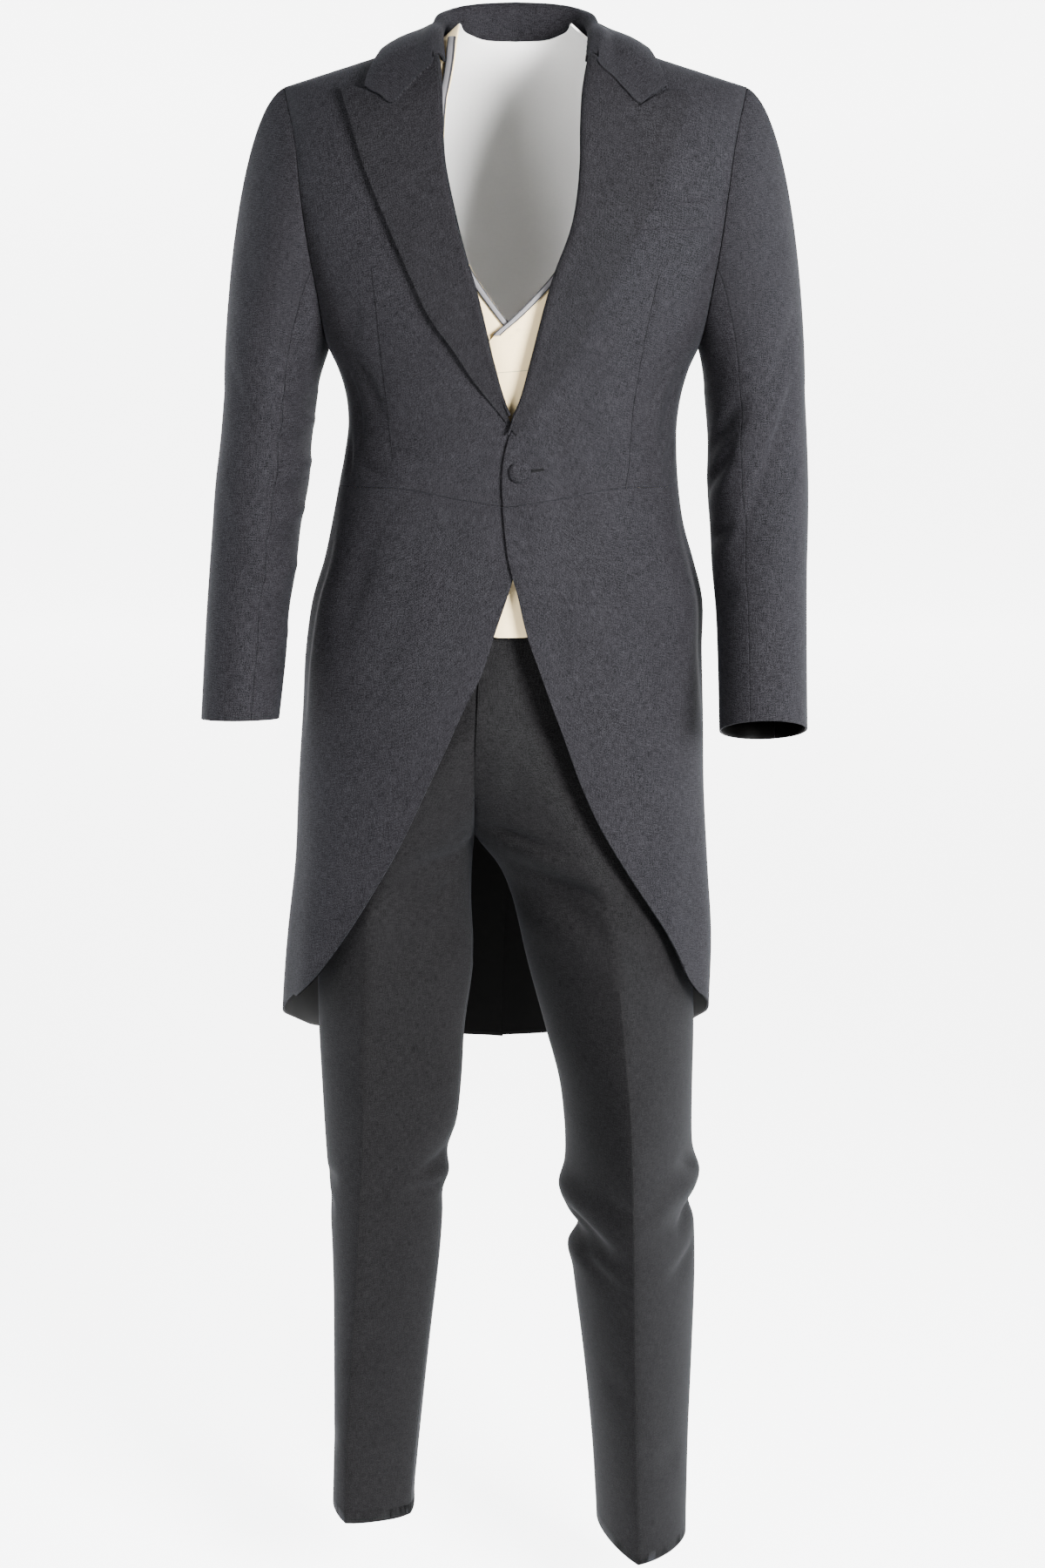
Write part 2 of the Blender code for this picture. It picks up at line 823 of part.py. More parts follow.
def coat_back(side):
    """One back, from the nape to the tail's hem, with the left tail over the right."""
    nape = turned([(180, NAPE_DROP)])[0]
    shoulder = shoulder_seam(FRONT_COLUMNS)
    shoulder[:, 0] = 180 - shoulder[:, 0]
    neck = on_back([(x, NAPE_DROP) for x in BACK_NECK])
    neck = evenly(np.concatenate([neck, shoulder[:1]]), NECK_COLUMNS)
    neck[0] = nape
    top = joined(neck, shoulder)
    right = joined(pleat_line(), side_back_seam(), armhole_back())
    waist = turned([(180, BACK_WAIST_DROP)])[0]
    foot = turned([(180, read(HEM, "drop", 180))])[0]
    centre = joined(
        evenly([foot, waist], SKIRT_ROWS),
        evenly([waist, nape], SIDE_ROWS + ARMHOLE_BACK_ROWS),
    )
    angles = np.linspace(180, PLEAT_ANGLE, NECK_COLUMNS + FRONT_COLUMNS + 1)
    bottom = turned(np.stack([angles, read(HEM, "drop", angles)], -1))
    grid = patch(bottom, top, centre, right)
    lift = np.zeros(grid.shape[:2])
    row = np.arange(len(grid))
    if side > 0:
        grid[row < SKIRT_ROWS - 1, 0, 0] += VENT_OVERLAP
        lift[row < SKIRT_ROWS, :2] = VENT_LIFT
    else:
        grid[row < SKIRT_ROWS - 2, 0, 0] += VENT_UNDERLAP
    walls = parted(coat_wall(side, grid, lift), "top", "left", "right")
    return cloth(f"coat_back_{SIDES[side]}", walls, CHARCOAL)


def coat_skirt(side):
    """The cutaway skirt, which hangs from the waist seam."""
    edge = front_pairs(edge_points(CUTAWAY[side], side)[::-1], side)
    left = evenly(edge, SKIRT_ROWS)
    right = pleat_line()
    front_waist = waist_seam(left[-1, 0], SIDE_ANGLE, FRONT_COLUMNS)
    front_waist[0] = left[-1]
    top = joined(front_waist, waist_seam(SIDE_ANGLE, PLEAT_ANGLE, SIDE_COLUMNS))
    angles = np.linspace(left[0, 0], PLEAT_ANGLE, len(top))
    bottom = turned(np.stack([angles, read(HEM, "drop", angles)], -1))
    bottom[0], bottom[-1] = left[0], right[0]
    grid = patch(bottom, top, left, right)
    lift = front_lift(side)(grid)
    walls = parted(coat_wall(side, grid, lift), "top", "right")
    return cloth(f"coat_skirt_{SIDES[side]}", walls, CHARCOAL)


def armhole_loop(side):
    """Points of the whole armhole, how the body faces there, and the way into the opening."""
    pairs = joined(armhole_front(), armhole_under(), armhole_back())[:-1]
    angles = side * pairs[:, 0]
    points = coat_face(angles, pairs[:, 1])
    facing = outward(coat_face, angles, pairs[:, 1])
    along = unit(np.roll(points, -1, axis=0) - np.roll(points, 1, axis=0))
    inward = unit(np.cross(along, facing))
    towards = points.mean(axis=0) - points
    inward *= np.sign((inward * towards).sum(axis=1, keepdims=True))
    return points, facing, inward


def sleeve_ring(side, turns, drop):
    """One ring of the sleeve: turn 0 is the outer side and 90 the front."""
    rows = SLEEVE[side]
    outer, inner = side * read(rows, "outer", drop), side * read(rows, "inner", drop)
    depth = read(rows, "depth", drop)
    radians = np.radians(turns)
    x = (outer + inner) / 2 + (outer - inner) / 2 * np.cos(radians)
    forward = depth * np.sin(radians)
    y = read(rows, "middle", drop) - forward
    z = -drop + forward * np.tan(np.radians(read(rows, "tilt", drop)))
    return np.stack([x, y, z + 0 * x], -1)


def sleeve_grid(side):
    """Rings from the armhole to the cuff."""
    loop, facing, inward = armhole_loop(side)
    steps = np.linalg.norm(np.roll(loop, -1, axis=0) - loop, axis=1)
    turns = 360 * np.concatenate([[0], np.cumsum(steps)[:-1]]) / steps.sum()
    start = loop + (facing + inward) * SEAM
    first = SLEEVE[side]["drop"][0]
    end = sleeve_ring(side, turns, first)
    span = np.linalg.norm(end - start, axis=1, keepdims=True)
    head = [read(SLEEVE_HEAD, column, turns) for column in ("out", "fore", "down")]
    leave = np.stack([side * head[0], -head[1], -head[2]], -1) * span
    arrive = np.stack([0 * turns, 0 * turns, 0 * turns - 0.85], -1) * span
    rings = []
    for share in np.linspace(0, 1, SLEEVE_HEAD_ROWS + 1)[:-1]:
        ahead = 1 - share
        rings.append(
            (1 + 2 * share) * ahead**2 * start
            + share * ahead**2 * leave
            + share**2 * (3 - 2 * share) * end
            - share**2 * ahead * arrive
        )
    for drop in np.linspace(first, SLEEVE[side]["drop"][-1], SLEEVE_ROWS + 1):
        rings.append(sleeve_ring(side, turns, drop))
    return np.array(rings), facing, inward


def ring_facing(rings, side):
    """Which way a tube of rings faces, outwards."""
    around = np.roll(rings, -1, axis=1) - np.roll(rings, 1, axis=1)
    down = np.gradient(rings, axis=0)
    return unit(np.cross(down, around)) * -side


def coat_sleeve(side):
    """The top sleeve and the under sleeve of one arm."""
    rings, body_facing, inward = sleeve_grid(side)
    deep = -COAT_CLOTH * ring_facing(rings, side)
    back_in = np.minimum((deep[0] * inward).sum(axis=1, keepdims=True), 0)
    deep[0] = unit(deep[0] - back_in * inward) * COAT_CLOTH
    walls = np.stack([rings, rings + deep])
    count = rings.shape[1]
    spans = {
        "topsleeve": np.arange(HIND_ARM_COLUMN - count, FRONT_ARM_COLUMN + 1),
        "undersleeve": np.arange(FRONT_ARM_COLUMN, HIND_ARM_COLUMN + 1),
    }
    for piece, columns in spans.items():
        part = parted(walls[:, :, columns % count], "left", "right")
        cloth(f"coat_{piece}_{SIDES[side]}", part, CHARCOAL)


def lapel(side):
    """A peaked lapel, folded back over the forepart along the roll line."""
    foot = LAPEL_FOOT[side]
    roll_rows = FRONT_EDGE[side]
    drops = np.linspace(foot, LAPEL_HEAD[side], LAPEL_ROWS + 1)
    roll = front_pairs(np.stack([side * read(roll_rows, "x", drops), drops], -1), side)
    edge = edge_points(LAPEL_EDGE[side], side)[::-1]
    edge = front_pairs(edge, side)
    left = evenly(roll, LAPEL_ROWS)
    right = evenly(edge, LAPEL_ROWS)
    peak = PEAK[side]
    peak = front_pairs(np.stack([peak["x"], peak["drop"]], -1), side)
    peak[-1] = right[-1]
    top = joined(evenly([left[-1], peak[0]], GORGE_COLUMNS), evenly(peak, PEAK_COLUMNS))
    bottom = evenly([left[0], right[0]], GORGE_COLUMNS + PEAK_COLUMNS)
    grid = patch(bottom, top, left, right)
    beyond = grid[:, :1] - (ROLL_BEYOND[side], 0)
    grid = np.concatenate([beyond, beyond, grid], axis=1)
    lift = np.array([*ROLL_LIFTS, *[LAPEL_LIFT] * (grid.shape[1] - len(ROLL_LIFTS))])
    lift = lift + front_lift(side)(grid)
    angles = grid * np.array([side, 1])
    outer = wall(coat_face, angles, lift, 0)[0]
    down = np.gradient(outer, axis=0)
    across = np.gradient(outer, axis=1)
    facing = unit(np.cross(down, across)) * -side
    cloth(f"coat_lapel_{SIDES[side]}", (outer, outer - facing * LAPEL_CLOTH), CHARCOAL)


def clear_of_coat(points, angle, run, lift):
    """The points moved out, where need be, to lie this far off the coat's face."""
    for _ in range(8):
        foot = coat_face(angle, run)
        over_angle = (coat_face(angle + 0.2, run) - coat_face(angle - 0.2, run)) / 0.4
        over_run = (coat_face(angle, run + 0.5) - coat_face(angle, run - 0.5)) / 1.0
        away = points - foot
        aa, rr = (over_angle**2).sum(-1), (over_run**2).sum(-1)
        ar = (over_angle * over_run).sum(-1)
        a, r = (over_angle * away).sum(-1), (over_run * away).sum(-1)
        spread = aa * rr - ar * ar + 1e-9
        angle = angle + np.clip((rr * a - ar * r) / spread, -8, 8)
        run = np.maximum(run + np.clip((aa * r - ar * a) / spread, -12, 12), 0)
    foot, facing = coat_face(angle, run), outward(coat_face, angle, run)
    height = ((points - foot) * facing).sum(-1)
    return points + facing * np.maximum(lift - height, 0)[..., None], facing


def collar_half():
    """Points of the collar from its front end to the centre back, in rows from the neck seam
    up the inside, over the fold and down to the leaf's edge, on the wearer's left."""
    steps = np.linspace(0, 8, COLLAR_COLUMNS)
    fold, seam = (
        np.stack([read(COLLAR, f"{name}_{axis}", steps) for axis in "xyz"], -1)
        for name in ("fold", "seam")
    )
    x, drop = read(COLLAR, "leaf_x", steps), -read(COLLAR, "leaf_z", steps)
    drop = np.maximum(drop, -ridge(x))
    angle = angle_at(x + read(BODY, "shift", drop), drop)
    angle = np.where(steps > SHOULDER_STEP, 180 - angle, angle)
    run = np.where(np.abs(steps - SHOULDER_STEP) < 0.01, 0, run_at(angle, drop))
    facing = outward(coat_face, angle, run)
    leaf = coat_face(angle, run) + facing * COLLAR_LIFT
    across = unit((leaf - fold) * (1, 1, 0))
    inside = fold - across * FOLD_WIDTH - (0, 0, 6)
    rows = [seam, (seam + inside) / 2, inside, fold - across * FOLD_WIDTH / 2, fold]
    first = fold + across * 1.5 - (0, 0, 6)
    crown = read(COLLAR, "crown", steps)[:, None]
    near_end = ease(1.4, 0, steps)[:, None]
    for share in (0, 0.2, 0.4, NOTCH_SHARE, 0.81, 1):
        place = first + (leaf - first) * share + facing * crown * 4 * share * (1 - share)
        place, _ = clear_of_coat(place, angle, run, COLLAR_LIFT)
        end = front_pairs([[read(COLLAR_END, axis, share) for axis in ("x", "drop")]], 1)[0]
        end = coat_face(*end) + outward(coat_face, *end) * LAPEL_LIFT
        rows.append(place * (1 - near_end) + end * near_end)
    return np.array(rows)


def collar():
    half = collar_half()
    other = half[:, -2::-1] * (-1, 1, 1)
    grid = np.concatenate([half, other], axis=1)
    along, down = np.gradient(grid, axis=1), np.gradient(grid, axis=0)
    facing = unit(np.cross(along, down))
    cloth("coat_collar", (grid, grid - facing * LAPEL_CLOTH), CHARCOAL)


def breast_welt():
    """The welt, laid on the wearer's left forepart with its inner end under the lapel."""
    corners = front_pairs(WELT_CORNERS, 1)
    top, bottom = evenly(corners[:2], 4), evenly(corners[:1:-1], 4)
    left, right = evenly(corners[[3, 0]], 2), evenly(corners[[2, 1]], 2)
    grid = patch(bottom, top, left, right)
    cloth("coat_breast_welt", coat_wall(1, grid, WELT_LIFT, WELT_CLOTH), CHARCOAL)


def button(name, angle, run, lift):
    """A domed button covered in cloth, turned about its own axis."""
    profile = [(0, 1.0), (0.45, 0.94), (0.8, 0.72), (0.97, 0.4), (1.0, 0.2), (0.92, 0), (0, 0)]
    points = [(across * BUTTON_RADIUS * MM, 0, up * BUTTON_HEIGHT * MM) for across, up in profile]
    mesh = bpy.data.meshes.new(name)
    mesh.from_pydata(points, [(i, i + 1) for i in range(len(points) - 1)], [])
    mesh.materials.append(finish(name, CHARCOAL, 0.9))
    part = bpy.data.objects.new(name, mesh)
    bpy.data.collections[COLLECTION].objects.link(part)
    turn = part.modifiers.new("turn", "SCREW")
    turn.steps = turn.render_steps = 16
    turn.use_merge_vertices = True
    turn.merge_threshold = 0.00005
    facing = outward(coat_face, angle, run)
    part.location = (coat_face(angle, run) + facing * (lift + SEAM)) * MM
    part.rotation_euler = Vector(facing).to_track_quat("Z", "Y").to_euler()
    return part


def buttons():
    angle, run = front_pairs([BUTTON_PLACE], 1)[0]
    lift = front_lift(1)(np.array([[angle, run]]))[0]
    button("coat_button", angle, run, lift)
    for side in SIDES:
        angle, run = turned([BACK_BUTTON_PLACE])[0]
        button(f"coat_backbutton_{SIDES[side]}", side * angle, run, BACK_BUTTON_LIFT)


def waistcoat_inset(side, grid):
    """How deep the waistcoat lies under the coat's face; the right forepart goes under."""
    place = coat_face(side * grid[..., 0], grid[..., 1])
    x, drop = place[..., 0], -place[..., 2]
    inset = read(WAISTCOAT_UNDER_SHOULDER, "inset", grid[..., 1])
    inset = np.maximum(inset, WAISTCOAT_NECK_INSET * ease(104, 84, np.abs(x)))
    inset = np.minimum(inset, read(WAISTCOAT_DEPTH, "inset", drop))
    if side < 0:
        inset = inset + WAISTCOAT_LAP * ease(*WAISTCOAT_LAP_EDGE, x) * ease(*WAISTCOAT_LAP_TOP, drop)
    return inset


def waistcoat_shoulder(columns):
    x = np.linspace(WAISTCOAT_NECK_HALF, WAISTCOAT_SHOULDER_HALF, columns + 1)
    return np.stack([angle_at(x, -ridge(x)), np.zeros(columns + 1)], -1)


def waistcoat_side_seam():
    pairs = turned([(WAISTCOAT_SIDE_ANGLE, drop) for drop in WAISTCOAT_SIDE_DROPS])
    return evenly(pairs, WAISTCOAT_SIDE_ROWS)


def waistcoat_armhole(rows, behind):
    """From the side seam up to the shoulder."""
    points = np.stack([rows["x"], rows["drop"]], -1)[::-1]
    pairs = on_front(points)
    if behind:
        pairs[:, 0] = 180 - pairs[:, 0]
    pairs = np.concatenate([waistcoat_side_seam()[-1:], pairs[:-1], waistcoat_shoulder(1)[-1:]])
    if behind:
        pairs[-1, 0] = 180 - pairs[-1, 0]
    return evenly(pairs, WAISTCOAT_ARMHOLE_ROWS)


def waistcoat_hem(start, end, count):
    angles = np.linspace(start, end, count + 1)
    return turned(np.stack([angles, read(WAISTCOAT_HEM, "drop", angles)], -1))


def waistcoat_front(side):
    top = waistcoat_shoulder(WAISTCOAT_COLUMNS)
    edge = front_pairs(edge_points(WAISTCOAT_EDGE[side], side)[::-1], side)
    edge = evenly(np.concatenate([edge, top[:1]]), WAISTCOAT_SIDE_ROWS + WAISTCOAT_ARMHOLE_ROWS)
    right = joined(waistcoat_side_seam(), waistcoat_armhole(WAISTCOAT_ARMHOLE, False))
    bottom = waistcoat_hem(edge[0, 0], WAISTCOAT_SIDE_ANGLE, WAISTCOAT_COLUMNS)
    bottom[0], bottom[-1] = edge[0], right[0]
    grid = patch(bottom, top, edge, right)
    walls = coat_wall(side, grid, -waistcoat_inset(side, grid), WAISTCOAT_CLOTH)
    cloth(f"waistcoat_front_{SIDES[side]}", parted(walls, "top", "right"), CREAM)


def waistcoat_back():
    shoulder = waistcoat_shoulder(WAISTCOAT_COLUMNS)
    shoulder[:, 0] = 180 - shoulder[:, 0]
    neck = np.concatenate([turned([(180, WAISTCOAT_NAPE)]), on_back(WAISTCOAT_BACK_NECK)])
    neck = evenly(np.concatenate([neck, shoulder[:1]])[::-1], WAISTCOAT_NECK_COLUMNS)
    half = joined(shoulder[::-1], neck)
    other = (half * (-1, 1) + (360, 0))[::-1]
    top = joined(half, other)
    left = joined(waistcoat_side_seam(), waistcoat_armhole(WAISTCOAT_BACK_ARMHOLE, True))
    right = left * (-1, 1) + (360, 0)
    bottom_half = waistcoat_hem(WAISTCOAT_SIDE_ANGLE, 180, len(top) // 2)
    bottom = joined(bottom_half, (bottom_half * (-1, 1) + (360, 0))[::-1])
    bottom[0], bottom[-1] = left[0], right[0]
    grid = patch(bottom, top, left, right)
    walls = coat_wall(1, grid, -waistcoat_inset(1, grid), WAISTCOAT_CLOTH)
    cloth("waistcoat_back", parted(walls, "top", "left", "right"), CREAM)


def waistcoat_piping(side):
    """A flat piping along the opening, from where the fronts cross up to the shoulder."""
    rows = WAISTCOAT_EDGE[side]
    drops = np.linspace(PIPING_FOOT[side], rows["drop"][0], 17)
    points = np.stack([side * read(rows, "x", drops), drops], -1)
    edge = front_pairs(points, side)
    inside = front_pairs(points + (PIPING_WIDTH, 0), side)
    grid = np.stack([edge, (edge + inside) / 2, inside], 1)
    lift = PIPING_LIFT - waistcoat_inset(side, grid)
    cloth(f"waistcoat_piping_{SIDES[side]}", coat_wall(side, grid, lift, PIPING_CLOTH), SATIN)


def waistband_inset(angle):
    """The waistband lies under the waistcoat, and deeper where its fronts cross."""
    return WAISTBAND_INSET + WAISTBAND_FRONT_INSET * np.exp(-((angle / WAISTBAND_FRONT_SPREAD) ** 4))


def fork_share(drop):
    """0 where the legs meet in a flat seam, and 1 where each is round on its own."""
    return np.clip((drop - FORK_TOP) / (FORK_DROP - FORK_TOP), 0, 1)


def leg_face(side):
    """The outer face of one leg. Angle 0 is its front crease, 90 its side seam and 180 its
    back crease."""
    rows = LEG[side]

    def face(angle, drop):
        share = fork_share(drop)
        middle_seam = np.where(
            drop < FORK_DROP, read(FORK_SEAM, "x", drop), read(rows, "inner", drop)
        )
        half = (read(rows, "side", drop) - middle_seam) / (1 + share)
        skew, crease = read(rows, "skew", drop), read(rows, "crease", drop)
        half = np.sign(half) * np.sqrt(half**2 - skew**2)
        centre = (read(rows, "side", drop) + middle_seam) / 2
        centre = np.where(share < 1, middle_seam + share * half, centre)
        sine, cosine = np.sin(np.radians(angle)), np.cos(np.radians(angle))
        sharp = 1 - np.abs(sine) ** CREASE_SHARPNESS
        forward = np.sign(cosine) * ((1 - crease) * np.abs(cosine) + crease * sharp)
        depth = np.where(cosine > 0, read(rows, "front", drop), read(rows, "back", drop))
        swell = 1 + leg_fold(side, angle, drop) / 80
        skew = skew * ease(FORK_DROP, FORK_DROP + 60, drop)
        x = centre + (half * sine + skew * forward) * np.where(share < 1, 1, swell)
        x = x + side * SEAM / 2
        y = -depth * forward * swell
        ring = np.stack([x, y, -drop + 0 * x], -1)
        around = side * angle
        pairs = np.stack(np.broadcast_arrays(around, run_at(around, drop)), -1)
        top = wall(coat_face, pairs, -waistband_inset(around), 0)[0]
        share = ease(WAISTBAND_FOOT, HIP_DROP, drop)[..., None]
        return top * (1 - share) + ring * share

    return face


def leg_fold(side, angle, drop):
    """How far the folds of one leg stand out or fall in."""
    rows, out = LEG_FOLDS[side], 0
    for fold in range(len(rows["drop"])):
        up = (drop - rows["drop"][fold]) / rows["height"][fold]
        turn = (angle - rows["angle"][fold] + 180) % 360 - 180
        around = turn / rows["spread"][fold]
        out = out + rows["depth"][fold] * np.exp(-up * up - around * around)
    return out


def leg_rows(side):
    count = int(LEG_ROWS["row"][-1])
    drops = np.interp(np.arange(count + 1), LEG_ROWS["row"], LEG_ROWS["drop"])
    drops[-1] = LEG[side]["drop"][-1]
    drops[0] += SEAM
    return drops


def trouser_panel(side, behind):
    """The front or the back of one leg, from the waistband to the hem."""
    drops = leg_rows(side)
    inner = -np.degrees(np.arcsin(fork_share(drops)))
    start = 180 - inner if behind else inner
    share = np.linspace(0, 1, LEG_COLUMNS + 1)
    angles = start[:, None] * (1 - share) + 90 * share
    grid = np.stack([angles, np.broadcast_to(drops[:, None], angles.shape)], -1)
    grid[..., 1] += hem_slope(side, *np.moveaxis(grid, -1, 0))
    face = leg_face(side)
    outer = face(grid[..., 0], grid[..., 1])
    facing = outward(face, grid[..., 0], grid[..., 1]) * side
    inside = outer - facing * TROUSER_CLOTH
    forked = fork_share(drops) < 1
    centre = outer[forked, 0].copy()
    outer, inside = parted((outer, inside), "left", "right")
    outer[forked, 0] = centre
    back = facing[forked, 0, 1]
    mitre = TROUSER_CLOTH / np.maximum(np.abs(back), FORK_MITRE)
    inside[forked, 0] = centre - np.sign(back)[:, None] * mitre[:, None] * (0, 1, 0)
    name = f"trouser_{'back' if behind else 'front'}_{SIDES[side]}"
    cloth(name, (outer, inside), CHARCOAL)


def hem_slope(side, angle, drop):
    """How much lower the hem hangs than the level, at an angle of the leg."""
    all_round, front, outer = HEM_SLOPE[side]
    turn = np.radians(angle)
    slope = all_round + front * np.cos(turn) + outer * np.sin(turn)
    return slope * ease(HEM_SLOPE_TOP, LEG[side]["drop"][-1], drop)


def trouser_waistband():
    angles = np.linspace(-180, 180, WAISTBAND_COLUMNS + 1)[:-1]
    drops = np.linspace(WAISTBAND_TOP, WAISTBAND_FOOT, 3)
    grid = np.stack(np.broadcast_arrays(angles[None], run_at(angles[None], drops[:, None])), -1)
    walls = wall(coat_face, grid, -waistband_inset(grid[..., 0]), TROUSER_CLOTH)
    cloth("trouser_waistband", walls, CHARCOAL, closed=True)


def build():
    clear_scene()
    for side in SIDES:
        coat_front(side)
        coat_side(side)
        coat_back(side)
        coat_skirt(side)
        coat_sleeve(side)
        lapel(side)
        waistcoat_front(side)
        waistcoat_piping(side)
        trouser_panel(side, behind=False)
        trouser_panel(side, behind=True)
    collar()
    breast_welt()
    buttons()
    waistcoat_back()
    trouser_waistband()


build()
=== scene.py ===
"""A charcoal morning suit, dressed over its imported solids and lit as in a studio.

+X is the wearer's left, -Y the front and +Z up. Sizes are in millimetres until a mesh is made,
and heights are written as a drop below the shoulders. Each piece of cloth is laid out on the
same round of the body as its solid, in a finer grid, with its creases, seams and weave.
"""

import json

import bpy
import numpy as np
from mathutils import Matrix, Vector

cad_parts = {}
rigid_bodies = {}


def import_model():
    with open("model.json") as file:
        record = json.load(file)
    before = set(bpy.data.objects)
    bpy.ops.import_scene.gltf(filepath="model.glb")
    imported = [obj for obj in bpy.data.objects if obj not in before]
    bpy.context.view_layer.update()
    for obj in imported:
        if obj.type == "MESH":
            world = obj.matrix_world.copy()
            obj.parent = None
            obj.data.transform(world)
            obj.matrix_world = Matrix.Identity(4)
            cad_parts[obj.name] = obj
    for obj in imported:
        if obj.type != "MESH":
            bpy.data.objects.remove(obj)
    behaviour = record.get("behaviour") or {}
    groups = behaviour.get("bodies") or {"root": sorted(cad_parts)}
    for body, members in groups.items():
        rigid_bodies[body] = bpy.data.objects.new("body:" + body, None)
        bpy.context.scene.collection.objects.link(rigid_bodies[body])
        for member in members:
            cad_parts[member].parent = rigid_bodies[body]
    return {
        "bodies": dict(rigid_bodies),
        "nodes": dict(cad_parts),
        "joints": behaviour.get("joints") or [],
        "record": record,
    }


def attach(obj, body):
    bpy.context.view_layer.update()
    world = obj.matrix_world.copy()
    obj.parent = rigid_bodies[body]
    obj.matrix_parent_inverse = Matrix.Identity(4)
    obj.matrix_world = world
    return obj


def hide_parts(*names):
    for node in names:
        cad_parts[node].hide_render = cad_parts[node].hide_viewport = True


SIDES = {1: "left", -1: "right"}
MM = 0.001

# Steps and rounds in which curves and places are worked out
ANGLE_STEP, RUN_STEP = 0.2, 0.5
ANGLE_REACH, RUN_REACH = 8, 12
FACE_ROUNDS, CLEAR_ROUNDS = 4, 8
CURVE_STEPS = 20
ARMHOLE_STEPS = 90
CORD_TURN = 60

# The gap between pieces, and how thick each cloth is
SEAM = 0.12
COAT_CLOTH = 2.0
LAPEL_CLOTH = 2.4
WAISTCOAT_CLOTH = 2.0
TROUSER_CLOTH = 1.6

# Shoulders
SHOULDER_HALF = 223.0
NECK_HALF = 85.0
NECK_HEIGHT = 43.0
NECK_RISE = 0.6
NECK_SOFTNESS = 7.0
SHOULDER_ROUND = 70.0
BODY_POWER = 2.3

# Seams, as angles from the centre front and drops
ARMHOLE_DEPTH = 248.0
SIDE_SEAM_TURN = 160.0
BACK_SEAM_TURN = 232.0
SIDE_ANGLE = 80.0
PLEAT_ANGLE = 150.0
COLLAR_SEAM_HALF = 88.0
NAPE_DROP = -42.0
BACK_NECK = (0.01, 30, 60, 75, 84)
BACK_WAIST_DROP = 386.0

# Rows and columns of the cloth
FRONT_COLUMNS = 60
SIDE_COLUMNS = 28
NECK_COLUMNS = 18
SIDE_ROWS = 62
ARMHOLE_FRONT_ROWS = 70
ARMHOLE_BACK_ROWS = 50
SKIRT_ROWS = 130

# Layers
LAPEL_ROWS = 110
GORGE_COLUMNS = 16
PEAK_COLUMNS = 16
ROLL_BEYOND = {1: 1.45, -1: 0.92}
FRONT_OVERLAP_LIFT = 3.4
FRONT_LAP_EDGE = (48, 14)
FRONT_LAP_TOP = (270, 320)
LAPEL_LIFT = 5.8
WELT_LIFT = 2.6
WELT_CLOTH = 1.7
VENT_LIFT = 3.4
VENT_OVERLAP = 2.5
VENT_UNDERLAP = 2.0
VENT_TOP = (394, 430)
VENT_REACH = (172, 180)
VENT_LIFT_REACH = (176, 180)
BUTTON_RADIUS = 10.5
BUTTON_HEIGHT = 5.0


def table(columns, *rows):
    """Named columns of numbers. The first is the one that the others are read along."""
    return dict(zip(columns.split(), np.array(rows, float).T))


BODY = table(
    "drop width front back shift",
    (-60, 212, 56, 58, 0), (-40, 215, 66, 66, 0), (0, 223, 88, 92, 0), (50, 226, 106, 112, 0),
    (100, 229, 120, 124, -1), (150, 221, 128, 129, -1), (200, 203, 132, 127, -1),
    (248, 181, 132, 118, -2), (265, 173, 130, 113, -2), (292, 165, 127, 105, -2),
    (320, 162, 124, 99, -3), (350, 164, 121, 95, -5), (380, 168, 120, 94, -7),
    (420, 175, 122, 99, -8), (455, 184, 125, 107, -7), (490, 194, 128, 115, -8),
    (545, 199, 131, 125, -12), (605, 202, 133, 133, -13), (685, 206, 134, 140, -15),
    (765, 211, 136, 147, -15), (837, 218, 137, 152, -17), (915, 221, 138, 156, -21),
    (1010, 222, 139, 160, -23),
)
DRAPE = table(
    "angle top bottom spread depth",
    (34, 560, 1000, 9, -4), (62, 480, 1040, 11, -6), (104, 430, 1080, 13, -7),
    (133, 400, 1080, 9, 6), (166, 420, 1080, 8, -6), (-40, 600, 1000, 10, -4),
    (-70, 500, 1040, 12, -6), (-112, 430, 1080, 12, -7), (-136, 400, 1080, 9, 6),
    (-168, 420, 1080, 8, -6),
)
ARMHOLE = table(
    "drop front back",
    (0, 223, 223), (50, 210, 212), (100, 203, 204), (150, 196, 196), (191, 189, 190),
    (230, 183.5, 184), (248, 181, 181),
)
FRONT_EDGE = {
    1: table(
        "drop x",
        (-31, 76), (-9, 71), (14, 67.5), (47, 65.5), (81, 65), (138, 56.5), (181, 40), (217, 29),
        (258, 18), (296, 7), (322, -5), (345, -11), (370, -13), (391, -12),
    ),
    -1: table(
        "drop x",
        (-29, -76), (-9, -72), (14, -71), (44, -70), (76, -68), (115, -60), (155, -50), (194, -38),
        (226, -30), (258, -22), (299, -10), (320, -1), (350, 8), (391, 10),
    ),
}
LAPEL_EDGE = {
    1: table(
        "drop x",
        (12, 162), (28, 159), (47, 152), (76, 142), (110, 128), (161, 101), (201, 79), (247, 55),
        (281, 34), (306, 15), (324, 1),
    ),
    -1: table(
        "drop x",
        (6, -163), (18, -159), (35, -153), (76, -140), (110, -126), (147, -110), (176, -97),
        (214, -79), (247, -55), (272, -39), (293, -23), (312, -8),
    ),
}
LAPEL_FOOT = {1: 318.0, -1: 306.0}
LAPEL_HEAD = {1: -21.0, -1: -21.0}
PEAK = {
    1: table("x drop", (114, 24), (131, 14.5), (148, 9), (157, 9), (162, 12)),
    -1: table("x drop", (114, 22), (130, 13), (144, 7.5), (155, 5), (163, 6)),
}
